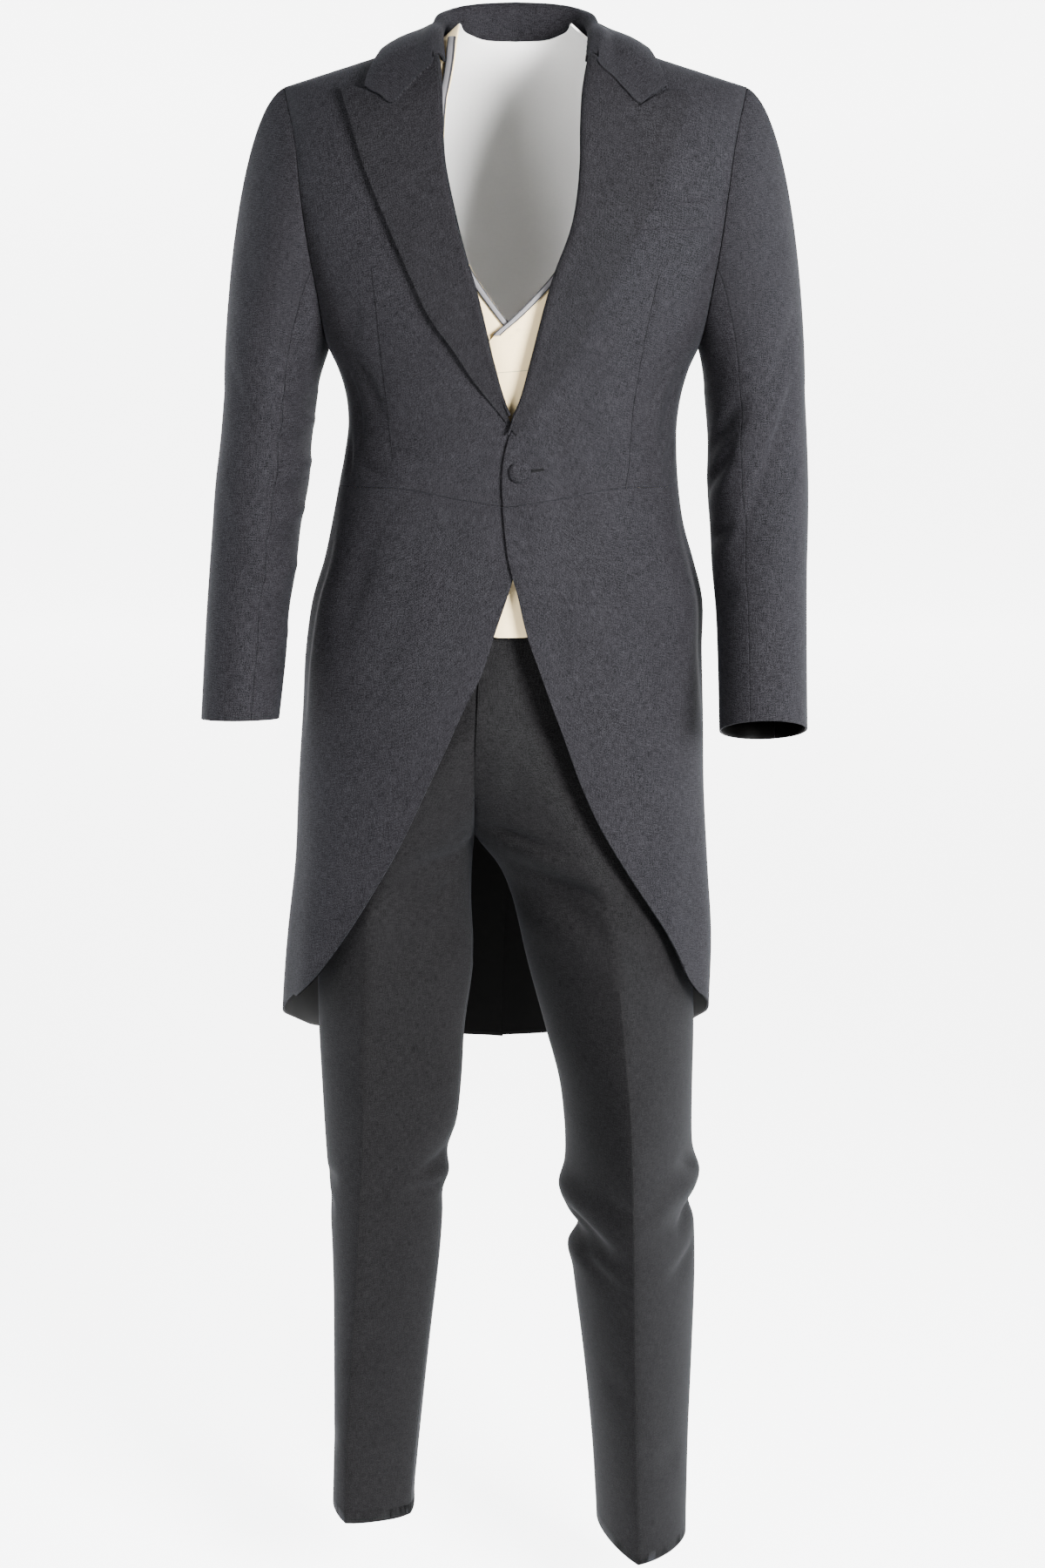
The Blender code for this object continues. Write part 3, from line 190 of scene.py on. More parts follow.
CUTAWAY = {
    1: table(
        "drop x",
        (391, -12), (404, -11), (440, -7), (480, 3), (514, 11), (545, 22), (579, 34), (614, 47),
        (659, 63), (707, 85), (741, 105), (790, 135), (813, 149), (841, 164), (867, 177),
        (889, 190),
    ),
    -1: table(
        "drop x",
        (391, 10), (425, 7), (462, -3), (513, -20), (555, -34), (584, -49), (624, -67), (658, -83),
        (731, -118), (782, -148), (825, -175), (852, -193), (869, -207), (887, -225),
    ),
}
WAIST_SEAM = table("angle drop", (0, 392), (14, 386), (34, 377), (60, 378), (90, 381), (150, 386))
HEM = table("angle drop", (70, 893), (90, 925), (105, 945), (120, 966), (150, 988), (180, 1003))
SIDE_BACK_SEAM = table("drop angle", (200, 116), (250, 125), (310, 138), (386, 150))

SLEEVE = {
    -1: table(
        "drop outer inner middle depth tilt",
        (290, 287, 195, 4, 74, 0), (340, 292, 202, 0, 71, 2), (380, 297, 205, -6, 68, 4),
        (420, 300, 213, -13, 65, 5), (460, 302, 217, -30, 62, 6), (500, 303.5, 223, -50, 59, 7),
        (540, 304.5, 225, -69, 57, 8), (600, 306, 230.5, -97, 54, 8),
    ),
    1: table(
        "drop outer inner middle depth tilt",
        (290, 285, 186, 4, 74, 0), (340, 288, 190, 0, 71, 2), (380, 289.5, 189.5, -6, 68, 5),
        (420, 289.5, 192.5, -13, 65, 8), (460, 287.5, 194, -30, 62, 11),
        (500, 286, 197, -50, 59, 14), (540, 285, 198, -69, 57, 17),
        (611, 284, 198.5, -100, 54, 20),
    ),
}
SLEEVE_HEAD = table(
    "turn out fore down",
    (0, 0.42, 0.0, 0.21), (90, 0.35, 0.15, 0.60), (180, 0.25, 0.0, 0.90), (270, 0.35, -0.15, 0.60),
    (360, 0.42, 0.0, 0.21),
)
SLEEVE_HEAD_ROWS = 34
SLEEVE_ROWS = 84
SLEEVE_FALL = 0.85
SLEEVE_SETTLE = 0.3
FRONT_ARM_COLUMN = 49
HIND_ARM_COLUMN = 123

COLLAR = table(
    "step fold_x fold_y fold_z leaf_x leaf_z seam_x seam_y seam_z crown",
    (0, 74.5, -61, 26, 142, -13, 70, -53, 22, 6), (1, 76, -43, 38, 137, 5, 75, -35, 34, 5),
    (2, 77.5, -23, 50, 129, 22, 80.5, -16, 42.5, 4), (3, 77, 0, 58, 122, 31.5, 84, 1, 46, 4),
    (4, 74, 20, 67, 112, 27, 80, 18, 47, 4), (5, 66, 37, 72, 95, 26, 69, 34, 46, 4),
    (6, 51, 50, 77, 70, 28, 51.5, 48, 44, 4), (7, 28, 59, 80, 37, 32, 28, 57.3, 43.4, 4),
    (8, 0, 62, 81, 0, 34, 0, 61.8, 43.4, 4),
)
SHOULDER_STEP = 3
COLLAR_STEPS = 8
COLLAR_COLUMNS = 56
COLLAR_LIFT = 5.0
FOLD_WIDTH = 7.0
FOLD_OVER = 1.5
FOLD_DEPTH = 6.0
LEAF_SHARES = (0, 0.2, 0.4, 0.62, 0.81, 1)
COLLAR_END_REACH = 1.4
COLLAR_END = table(
    "share x drop",
    (0, 76, -12), (0.31, 95.5, 5), (0.62, 113.5, 22), (0.81, 126, 14), (1, 139, 8),
)

WELT_CORNERS = ((108, 109.5), (184, 106), (183.5, 132), (108, 134))
BUTTON_PLACE = (4, 358)
BACK_BUTTON_PLACE = (148, 378)
BACK_BUTTON_LIFT = 1.0

# Waistcoat
WAISTCOAT_COLUMNS = 30
WAISTCOAT_NECK_COLUMNS = 14
WAISTCOAT_SIDE_ROWS = 30
WAISTCOAT_ARMHOLE_ROWS = 50
WAISTCOAT_LAP = 4.6
PIPING_WIDTH = 8.0
PIPING_LIFT = 2.3
PIPING_CLOTH = 1.4
WAISTCOAT_UNDER_SHOULDER = table("run inset", (0, 2.8), (24, 5.6), (60, 9.5), (110, 12))
WAISTCOAT_DEPTH = table("drop inset", (-60, 12), (330, 12), (400, 9.5), (455, 9.5), (515, 12))
WAISTCOAT_NECK_INSET = 9.0
WAISTCOAT_NECK_REACH = (104, 84)
WAISTCOAT_EDGE = {
    1: table(
        "drop x",
        (-50, 77), (-30, 78), (0, 77), (35, 75), (76, 71), (120, 62), (172, 37), (197, 15),
        (217, -6), (231, -22), (260, -30), (400, -30), (515, -28),
    ),
    -1: table(
        "drop x",
        (-50, -60), (-30, -61), (0, -64), (35, -67), (76, -68), (120, -61), (170, -41), (193, -26),
        (219, -6), (240, 10), (270, 24), (400, 26), (515, 26),
    ),
}
WAISTCOAT_ARMHOLE = table(
    "drop x",
    (-27, 135), (30, 137), (80, 139), (150, 143), (215, 152), (258, 163),
)
WAISTCOAT_BACK_ARMHOLE = table(
    "drop x",
    (-27, 135), (30, 141), (80, 146), (150, 150), (215, 156), (262, 164),
)
WAISTCOAT_SIDE_ANGLE = 96.0
WAISTCOAT_SIDE_DROPS = (455, 370, 285)
WAISTCOAT_NECK_HALF = {1: 76.0, -1: 60.0}
WAISTCOAT_SHOULDER_HALF = 135.0
WAISTCOAT_LAP_EDGE = (-80, -44)
WAISTCOAT_LAP_TOP = (160, 205)
WAISTCOAT_HEM = table(
    "angle drop",
    (-12, 516), (8, 516), (40, 492), (70, 466), (96, 455), (180, 450),
)
WAISTCOAT_NAPE = -50.0
WAISTCOAT_BACK_NECK = ((38, -54), (55, -60))
PIPING_FOOT = {1: 231.0, -1: 223.0}

# Trousers
WAISTBAND_TOP = 388.0
WAISTBAND_FOOT = 420.0
WAISTBAND_COLUMNS = 96
WAISTBAND_ROWS = 8
WAISTBAND_INSET = 14.9
WAISTBAND_FRONT_INSET = 4.4
WAISTBAND_FRONT_SPREAD = 46.0
HIP_DROP = 545.0
FORK_TOP = 605.0
FORK_DROP = 738.0
FORK_MITRE = 0.4
SKEW_FADE = 60.0
FOLD_RADIUS = 80.0
CREASE_SHARPNESS = 1.06
LEG_COLUMNS = 40
LEG = {
    -1: table(
        "drop side inner front back skew crease",
        (420, -157, -14, 97, 84, 0, 0), (460, -166, -20, 102, 92, 0, 0),
        (545, -184, -30, 109, 106, 0, 0.1), (605, -191, -33, 112, 114, 0, 0.2),
        (738, -203, -42, 108, 112, -8, 0.3), (800, -206, -45, 96, 100, -18, 0.4),
        (870, -206, -42, 89, 92, -23, 0.45), (945, -206, -51, 87, 82, -24, 0.5),
        (1000, -204, -54, 90, 76, -25, 0.5), (1050, -202, -59, 88, 76, -25, 0.5),
        (1110, -199, -70, 83, 78, -25, 0.5), (1200, -197, -77, 75, 84, -28, 0.5),
        (1300, -198, -88, 66, 88, -29, 0.5), (1400, -200, -98, 58, 90, -30, 0.5),
        (1472, -202, -106, 51, 92, -27, 0.5),
    ),
    1: table(
        "drop side inner front back skew crease",
        (420, 142, -14, 97, 84, 0, 0), (460, 150, -20, 102, 92, 0, 0),
        (545, 163, -30, 109, 106, 0, 0.1), (605, 168, -33, 112, 114, 0, 0.2),
        (738, 176, -42, 108, 112, 8, 0.3), (764, 178, -22, 109, 104, 8, 0.35),
        (800, 180, -6, 112, 92, 7, 0.4), (870, 182, 11, 118, 70, 6, 0.45),
        (945, 184, 31, 127, 50, 2, 0.5), (1000, 183.5, 45, 136, 36, 0, 0.5),
        (1042, 183.5, 50, 144, 24, -1, 0.5), (1117, 186, 52, 136, 18, -1, 0.5),
        (1200, 189, 59, 124, 28, -4, 0.5), (1300, 187.5, 71, 112, 40, -7, 0.5),
        (1400, 185, 80.6, 100, 50, -8, 0.5), (1486, 184, 86, 88, 58, -7, 0.5),
    ),
}
FORK_SEAM = table("drop x", (420, -18), (460, -26), (545, -35), (605, -38), (738, -42))
HEM_SLOPE = {1: (14.0, 4.0, 10.5), -1: (-8.0, -2.0, -12.5)}
HEM_SLOPE_TOP = 1250.0
LEG_FOLDS = {
    -1: table(
        "drop height angle spread depth",
        (1076, 20, -95, 45, -6), (1102, 12, -80, 35, 5), (1128, 16, -95, 40, -3),
        (768, 22, -30, 34, -7), (806, 20, -20, 40, 5),
    ),
    1: table(
        "drop height angle spread depth",
        (1098, 18, 84, 46, 9), (1130, 14, 84, 46, -7), (1113, 18, -84, 44, 9),
        (1155, 13, -80, 50, -13), (1182, 14, -84, 40, 4), (790, 20, -30, 40, -7),
        (826, 20, -15, 44, 5),
    ),
}
LEG_ROWS = table(
    "row drop",
    (0, 420), (3, 605), (7, 738), (10, 880), (13, 1050), (20, 1190), (23, 1400), (24, 1500),
)

# Creases: each row runs from one place to another, with its half width and how far it stands
# out, or falls in where the depth is negative. Across is an angle and down is a drop.
CREASE_COLUMNS = "across_a down_a across_b down_b width depth"
COAT_CREASES = table(
    CREASE_COLUMNS,
    (58, 246, 48, 322, 8, -2.4), (66, 262, 60, 352, 9, -3.0), (50, 338, 26, 352, 7, -1.7),
    (62, 352, 40, 366, 7, -2.0), (72, 330, 62, 374, 8, -2.4), (44, 196, 54, 240, 10, -1.8),
    (8, 372, 30, 352, 7, -1.4), (-56, 244, -46, 318, 8, -2.5), (-64, 260, -60, 346, 9, -2.7),
    (-47, 336, -24, 354, 7, -1.5), (-64, 350, -38, 368, 7, -2.1), (-43, 200, -53, 238, 10, -2.0),
    (-8, 376, -28, 356, 7, -1.4), (-72, 326, -64, 372, 8, -2.2), (102, 262, 108, 330, 9, -2.7),
    (-104, 266, -109, 336, 9, -2.5), (120, 344, 146, 356, 7, -2.4),
    (-118, 340, -144, 358, 7, -2.5), (163, 62, 140, 150, 15, -3.3),
    (-165, 68, -141, 146, 14, -3.0), (150, 168, 160, 300, 13, -2.8),
    (-149, 172, -161, 296, 12, -3.2), (174, 322, 156, 336, 8, -2.5),
    (-174, 330, -154, 344, 8, -2.4), (176, 352, 158, 364, 7, -2.1),
    (-175, 358, -160, 368, 7, -1.8), (170, -10, 150, 10, 9, -1.4), (-170, -8, -152, 12, 9, -1.2),
    (46, 402, 52, 560, 15, -2.7), (74, 396, 80, 620, 16, -3.3), (26, 420, 38, 600, 14, -2.0),
    (96, 398, 98, 590, 14, -2.7), (-44, 402, -50, 540, 15, -2.5), (-72, 398, -77, 640, 16, -3.4),
    (-26, 424, -36, 590, 14, -1.8), (-98, 400, -99, 610, 14, -2.8),
)
SLEEVE_CREASES = {
    1: table(
        CREASE_COLUMNS,
        (38, 262, 132, 452, 11, -7.1), (66, 250, 150, 400, 12, 4.0), (28, 206, 118, 330, 11, -4.0),
        (48, 330, 112, 448, 12, -3.4), (104, 286, 172, 352, 8, -5.0),
        (120, 340, 188, 392, 7, -4.7), (118, 410, 186, 436, 7, -4.0),
        (122, 470, 178, 486, 8, -2.8), (24, 140, 76, 168, 10, -2.2),
        (238, 350, 306, 372, 10, -4.0), (228, 392, 316, 402, 9, -4.7),
        (236, 436, 300, 428, 10, -3.4), (286, 150, 332, 250, 12, -3.4),
        (256, 210, 292, 300, 12, -2.8),
    ),
    -1: table(
        CREASE_COLUMNS,
        (96, 292, 188, 302, 7, -5.3), (102, 312, 186, 318, 7, 4.7), (98, 330, 190, 342, 7, -5.0),
        (104, 362, 188, 356, 7, 5.0), (100, 380, 192, 388, 8, -5.3), (98, 410, 186, 402, 7, 5.0),
        (102, 428, 188, 436, 8, -4.7), (96, 462, 186, 456, 7, 4.7), (102, 486, 186, 492, 8, -4.0),
        (104, 524, 186, 518, 8, 3.7), (106, 552, 182, 548, 8, -3.4), (30, 250, 84, 330, 12, -2.2),
        (40, 380, 78, 450, 12, -1.6), (28, 150, 70, 190, 10, -1.9), (236, 352, 304, 366, 10, -4.0),
        (230, 396, 314, 404, 9, -4.5), (238, 440, 298, 430, 10, -3.1),
        (284, 148, 330, 246, 12, -3.1), (254, 214, 290, 300, 12, -2.6),
    ),
}
LEG_CREASES = {
    1: table(
        CREASE_COLUMNS,
        (-76, 698, -6, 736, 9, -7.1), (-66, 712, 2, 752, 8, 3.7), (-58, 748, 16, 792, 10, -6.8),
        (-40, 768, 22, 866, 12, -5.4), (-84, 640, -40, 690, 10, -3.4),
        (-20, 900, 24, 960, 14, -3.4), (44, 1060, 88, 1102, 9, -4.4),
        (-30, 1090, 30, 1108, 14, -4.1), (-70, 1128, -18, 1150, 9, -7.1),
        (-60, 1168, -8, 1190, 11, -3.7), (40, 1142, 90, 1124, 10, -4.4),
        (30, 1190, 80, 1172, 12, -3.4), (140, 1040, 210, 1058, 10, -5.1),
        (136, 1090, 214, 1082, 9, -6.8), (144, 1136, 206, 1128, 10, -5.4),
        (150, 1180, 200, 1186, 12, -3.7), (120, 780, 200, 830, 14, -4.4),
        (-150, 800, -96, 880, 13, -4.1), (-40, 1290, 10, 1320, 14, -2.0),
        (20, 1380, 60, 1410, 14, -2.0),
    ),
    -1: table(
        CREASE_COLUMNS,
        (-72, 752, -8, 748, 9, -6.5), (-70, 774, -22, 806, 9, -5.4), (-84, 700, -36, 726, 9, -4.4),
        (-60, 812, 6, 868, 12, -3.7), (-80, 640, -34, 676, 10, -3.1),
        (-88, 1076, -40, 1092, 10, -3.7), (-86, 1112, -30, 1104, 9, -4.1),
        (30, 1088, 82, 1100, 10, -3.4), (40, 1126, 84, 1118, 10, -3.1),
        (140, 1040, 212, 1052, 11, -4.4), (138, 1086, 216, 1080, 10, -5.4),
        (146, 1130, 208, 1124, 11, -4.4), (122, 784, 204, 828, 14, -4.1),
        (-150, 800, -98, 876, 13, -3.7), (-20, 1260, 14, 1300, 14, -1.7),
        (24, 1370, 60, 1400, 14, -1.7),
    ),
}
COAT_MM_PER_DEGREE = 3.0
SLEEVE_MM_PER_DEGREE = 1.05
LEG_MM_PER_DEGREE = 1.3
STEEP_SIDE, GENTLE_SIDE = 0.75, 1.3

# Seams and small trim
DART_LINES = {
    1: ((135, 176), (127, 212), (119, 256), (112, 306), (109, 356), (106, 374)),
    -1: ((-135, 170), (-131, 210), (-127, 256), (-122, 306), (-118, 350)),
}
DART_WIDTH = 2.6
DART_DEPTH = {1: -0.8, -1: -0.35}
# Half widths of the darts' dark lines of painted shade
DART_SHADE_HALF_WIDTH = {1: 0.42, -1: 0.3}
BUTTONHOLE = ((15.0, 357.0), (27.0, 355.6))
BUTTON_SEGMENTS = 48
WAISTCOAT_SEAM = ((-30, 268), (48, 262))
FLY_LIFT = 2.2
FLY_FOOT = 690.0
FLY_SOFTNESS = (6, 14)
TACK_DROP = 684.0
TACK_RUN = (-1.5, 5)

# How far a cord stands off its cloth, its half width and its half height. Beads and tack are
# thread; slit and seam line are painted shade
SLIT = (0.15, 0.5, 0.3)
BEAD = (0.2, 0.55, 0.4)
TACK = (0.2, 0.8, 0.4)
SEAM_LINE = (0.1, 0.3, 0.12)
BEAD_ASIDE = 0.95
DART_RISE, DART_HEIGHT = 0.12, 0.2

# Colours, in linear light
CHARCOAL_DARK = (0.0020, 0.00195, 0.0024)
CHARCOAL_LIGHT = (0.0215, 0.0208, 0.0240)
# Painted shade: the lapels and the collar wear the coat's wool painted darker, for the shade they
# fall in
LAPEL_PAINTED_SHADE_DARK = (0.0021, 0.0020, 0.0024)
LAPEL_PAINTED_SHADE_LIGHT = (0.0170, 0.0165, 0.0188)
TROUSER_DARK = (0.0017, 0.0017, 0.0018)
TROUSER_LIGHT = (0.0130, 0.0128, 0.0134)
CLOTH_SPECULAR = 0.06
LINING = (0.0012, 0.0011, 0.0011)
CREAM = (0.94, 0.74, 0.42)
# Painted shade along the waistcoat's seam
CREAM_SHADE = (0.42, 0.36, 0.27)
IVORY = (0.93, 0.92, 0.90)
SATIN = (0.17, 0.165, 0.175)
SATIN_EDGE = (0.03, 0.03, 0.033)
# Painted shade: the dark lines of the darts and the buttonhole's slit
SEAM_SHADE = (0.003, 0.003, 0.0035)
WHITE = (0.93, 0.93, 0.93)

# Layers and edges that the solids leave plain
EDGE_ROUND = 0.7
EDGE_ANGLE = 60.0
EDGE_STEPS = 240
ROLL = table("share lift", (0.45, -1.0), (0.85, 0.4), (1.0, 2.6), (0.85, 4.8), (0.4, 6.2))
ROLL_CROWN = 0.8
LAPEL_FOOT_LIFT = 1.6
LAPEL_FADE = 60.0
ROLL_COLUMNS = 5.0
COLLAR_ROWS = 44
COLLAR_GRAIN_ROW = 30
WELT_COLUMNS = 40
WELT_ROWS = 14
WELT_SINK = 0.7
BUTTON_PROFILE = ((0.02, 1.0), (0.45, 0.94), (0.8, 0.72), (0.97, 0.4), (1.0, 0.2), (0.92, 0))
BUTTON_RINGS = 24
PIPING_ROWS = 120
PIPING_COLUMNS = 11
PIPING_EDGE_COLUMNS = 2
PIPING_CROWN = 0.6
LEG_ROW_SPLIT = 8
FLY_WIDTH = 36.0
GRAIN_RUN = 520.0
# Weave, in millimetres
FLECK = 0.85
YARN, YARN_RUN = 0.95, 9
CLOUD = 40
WEAVE_TONES = (0.41, 0.63)
WOVEN_ROUGHNESS = 0.88
GRAIN, GRAIN_LENGTH = 0.7, 6
GRAIN_TONES = (0.3, 0.7)
SHEEN_ROUGHNESS = 0.4
SHEEN_TINT = (0.72, 0.8, 1.0, 1.0)

# Studio, in metres
FLOOR = -1.6
BACKDROP_FRONT, BACKDROP_BACK, BACKDROP_BEND = 8.0, 7.0, 2.0
BACKDROP_HEIGHT, BACKDROP_HALF = 9.0, 12.0
BACKDROP_STEPS = 24
BACKDROP_GLOW = (-0.4, 0.08, 0.2, 4.6)
WORLD_GLOW = 0.16
LIT_POINT = (0, 0, -0.42)
LIGHTS = {
    "key": ((1.4, -2.0, 0.15), (0.9, 0.9), 90.0, (1.0, 1.0, 1.0), 90),
    "fill": ((-1.7, -2.7, 0.4), (1.4, 1.4), 40.0, (1.0, 1.0, 1.0), 110),
    "left_strip": ((-2.1, 0.5, -0.1), (0.7, 2.0), 32.0, (0.86, 0.93, 1.0), 120),
    "right_strip": ((2.1, 0.5, -0.1), (0.7, 2.0), 32.0, (0.86, 0.93, 1.0), 120),
}
CAMERA_PLACE = (0.0067, -2.6, -0.133)
CAMERA_DOWN = 12.0
SENSOR, LENS, SIGHT = 36.0, 60.0, 50.0


def read(rows, column, at):
    """A smooth curve through one column of a table, held level past its ends."""
    keys = next(iter(rows.values()))
    values = rows[column]
    slopes = np.gradient(values, keys)
    at = np.clip(at, keys[0], keys[-1])
    before = np.clip(np.searchsorted(keys, at) - 1, 0, len(keys) - 2)
    step = keys[before + 1] - keys[before]
    share = (at - keys[before]) / step
    ahead = 1 - share
    return (
        (1 + 2 * share) * ahead**2 * values[before]
        + share * ahead**2 * step * slopes[before]
        + share**2 * (3 - 2 * share) * values[before + 1]
        - share**2 * ahead * step * slopes[before + 1]
    )


def ease(start, end, value):
    """0 at start, 1 at end and smooth between them."""
    share = np.clip((value - start) / (end - start), 0, 1)
    return share * share * (3 - 2 * share)


def ridge(x):
    """Height of the shoulder line, which turns up beside the neck."""
    x = np.abs(x)
    slope = NECK_HEIGHT / (SHOULDER_HALF - NECK_HALF)
    inside = NECK_SOFTNESS * np.logaddexp(0, (NECK_HALF - x) / NECK_SOFTNESS)
    return slope * (SHOULDER_HALF - x) + NECK_RISE * inside


def section(angle, drop):
    """Across and forward shares of the body's section, which is a soft-cornered oval."""
    sine, cosine = np.sin(np.radians(angle)), np.cos(np.radians(angle))
    reach = (np.abs(sine) ** BODY_POWER + np.abs(cosine) ** BODY_POWER) ** (-1 / BODY_POWER)
    return read(BODY, "width", drop) * reach * sine, reach * cosine


def drape(angle, drop):
    """How far the hanging cloth stands out, or falls in, from the round of the body."""
    out = 0
    for fold in range(len(DRAPE["angle"])):
        around = (angle - DRAPE["angle"][fold]) / DRAPE["spread"][fold]
        down = ease(DRAPE["top"][fold], DRAPE["bottom"][fold], drop)
        out = out + DRAPE["depth"][fold] * down * np.exp(-around * around)
    return out


def coat_face(angle, run):
    """The coat's outer face at an angle, a run of cloth down from the shoulder line."""
    turned = np.minimum(run / SHOULDER_ROUND, np.pi / 2)
    straight = np.maximum(run - SHOULDER_ROUND * np.pi / 2, 0)
    below = SHOULDER_ROUND * (1 - np.cos(turned)) + straight
    drop = below
    for _ in range(FACE_ROUNDS):
        x, forward = section(angle, drop)
        drop = below - ridge(x)
    x, forward = section(angle, drop)
    depth = np.where(forward > 0, read(BODY, "front", drop), read(BODY, "back", drop))
    y = -depth * forward * np.sin(turned)
    length = np.hypot(x, y) + 1e-9
    swell = 1 + drape(angle, drop) / length
    return np.stack([x * swell + read(BODY, "shift", drop), y * swell, -drop], -1)


def creases(rows, scale, across, down):
    """How far soft troughs and ridges move the cloth out, or in, at a place."""
    out = np.zeros(np.broadcast(across, down).shape)
    for start_across, start_down, end_across, end_down, width, depth in zip(*rows.values()):
        run_across, run_down = (end_across - start_across) * scale, end_down - start_down
        beside = ((across - start_across + 180) % 360 - 180) * scale
        below = down - start_down
        length = np.hypot(run_across, run_down)
        along = (beside * run_across + below * run_down) / length**2
        aside = (beside * run_down - below * run_across) / length
        reach = np.where(aside > 0, STEEP_SIDE, GENTLE_SIDE) * width
        fade = np.sin(np.pi * np.clip(along, 0, 1))
        out = out + depth * fade * np.exp(-((aside / reach) ** 2))
    return out


def dressed_coat(angle, run):
    """The coat's outer face with its creases."""
    points = coat_face(angle, run)
    out = creases(COAT_CREASES, COAT_MM_PER_DEGREE, angle, -points[..., 2])
    return points + outward(coat_face, angle, run) * out[..., None]


def run_at(angle, drop):
    """The run of cloth that reaches a drop at an angle."""
    x, _ = section(angle, drop)
    below = (ridge(x) + drop) / SHOULDER_ROUND
    turned = np.arccos(np.clip(1 - below, 0, 1))
    return SHOULDER_ROUND * (turned + np.maximum(below - 1, 0))


def angle_at(x, drop):
    """The angle of a point of the front that lies x across."""
    across = (x - read(BODY, "shift", drop)) / read(BODY, "width", drop)
    size = np.clip(np.abs(across), 0, 1)
    forward = (1 - size**BODY_POWER) ** (1 / BODY_POWER)
    return np.degrees(np.arctan2(size, forward)) * np.sign(across)


def turned(points):
    """(angle, drop) pairs as (angle, run) pairs."""
    angle, drop = np.asarray(points, float).T
    return np.stack([angle, run_at(angle, drop)], -1)


def on_body(points, behind=False):
    """(x, drop) pairs as (angle, run) pairs on the front or the back."""
    x, drop = np.asarray(points, float).T
    angle = angle_at(x, drop)
    if behind:
        angle = np.sign(x + 1e-9) * 180 - angle
    return turned(np.stack([angle, drop], -1))


def place_of(side, grid):
    """x and drop of the places that pairs stand for."""
    place = coat_face(side * grid[..., 0], grid[..., 1])
    return place[..., 0], -place[..., 2]


def drop_line(rows, start, end, count):
    """Pairs from one angle to another along a line whose drops are in a table."""
    angles = np.linspace(start, end, count + 1)
    return turned(np.stack([angles, read(rows, "drop", angles)], -1))


def drop_point(rows, angle):
    """The pair at an angle on a line whose drops are in a table."""
    return turned([(angle, read(rows, "drop", angle))])[0]


def along_line(points):
    """How far along a line each of its points lies."""
    return np.concatenate([[0], np.cumsum(np.linalg.norm(np.diff(points, axis=0), axis=1))])


def spaced(points, along, count):
    """count + 1 points at even distances, where along says how far each point lies."""
    wanted = np.linspace(0, along[-1], count + 1)
    return np.stack([np.interp(wanted, along, values) for values in points.T], -1)


def evenly(points, count):
    """count + 1 points evenly spaced along a smooth curve through the points given."""
    points = np.asarray(points, float)
    along = along_line(points)
    curve = {"along": along, **dict(enumerate(points.T))}
    fine = np.linspace(0, along[-1], CURVE_STEPS * count + 1)
    dense = np.stack([read(curve, axis, fine) for axis in range(points.shape[1])], -1)
    return spaced(dense, along_line(dense), count)


def joined(*stretches):
    """Stretches that meet end to end, as one list of points."""
    return np.concatenate([stretches[0]] + [stretch[1:] for stretch in stretches[1:]])


def patch(bottom, top, left, right):
    """A grid of pairs between four edges that share their corners; rows run bottom to top."""
    across = np.linspace(0, 1, len(bottom))[None, :, None]
    up = np.linspace(0, 1, len(left))[:, None, None]
    corners = (
        (1 - across) * (1 - up) * bottom[0]
        + across * (1 - up) * bottom[-1]
        + (1 - across) * up * top[0]
        + across * up * top[-1]
    )
    rows = (1 - up) * bottom[None] + up * top[None]
    columns = (1 - across) * left[:, None] + across * right[:, None]
    return rows + columns - corners


def unit(vectors):
    return vectors / (np.linalg.norm(vectors, axis=-1, keepdims=True) + 1e-12)


def slopes(surface, first, second):
    """How a surface of two values moves over a small step of each."""
    over_first = surface(first + ANGLE_STEP, second) - surface(first - ANGLE_STEP, second)
    over_second = surface(first, second + RUN_STEP) - surface(first, second - RUN_STEP)
    return over_first, over_second


def outward(surface, first, second):
    """Which way a surface of two values faces, away from the body."""
    return unit(np.cross(*slopes(surface, first, second)[::-1]))


def wall(surface, grid, lift, thickness):
    """Outer and inner points of a wall laid on a surface, lifted off it and this thick."""
    first, second = grid[..., 0], grid[..., 1]
    points, facing = surface(first, second), outward(surface, first, second)
    lift = np.broadcast_to(lift, first.shape)[..., None]
    return points + facing * lift, points + facing * (lift - thickness)


def parted(walls, *sides):
    """The wall drawn back from its neighbours by half a seam on the sides named."""
    outer, inner = (points.copy() for points in walls)
    source = walls[0]
    for points in (outer, inner):
        if "bottom" in sides:
            points[0] += unit(source[1] - source[0]) * SEAM / 2
        if "top" in sides:
            points[-1] += unit(source[-2] - source[-1]) * SEAM / 2
        if "left" in sides:
            points[:, 0] += unit(source[:, 1] - source[:, 0]) * SEAM / 2
        if "right" in sides:
            points[:, -1] += unit(source[:, -2] - source[:, -1]) * SEAM / 2
    return outer, inner


def feed(tree, node, inputs):
    """Sets a node's inputs, each to a value or to the output of another node."""
    for name, value in inputs.items():
        if isinstance(value, bpy.types.NodeSocket):
            tree.links.new(value, node.inputs[name])
        else:
            node.inputs[name].default_value = value
    return node.outputs


def in_millimetres(tree):
    """Places on the cloth, across and along its grain."""
    laid = tree.nodes.new("ShaderNodeUVMap")
    laid.uv_map = "cloth"
    scale = tree.nodes.new("ShaderNodeVectorMath")
    scale.operation = "SCALE"
    return feed(tree, scale, {0: laid.outputs["UV"], "Scale": 1 / MM})[0]


def noise(tree, source, across, along, detail=2.0):
    """Soft random values whose features are this wide and this long, in millimetres."""
    stretch = tree.nodes.new("ShaderNodeVectorMath")
    stretch.operation = "MULTIPLY"
    place = feed(tree, stretch, {0: source, 1: (1 / across, 1 / along, 1)})[0]
    texture = tree.nodes.new("ShaderNodeTexNoise")
    texture.noise_dimensions = "2D"
    return feed(tree, texture, {"Scale": 1.0, "Detail": detail, "Vector": place})["Fac"]


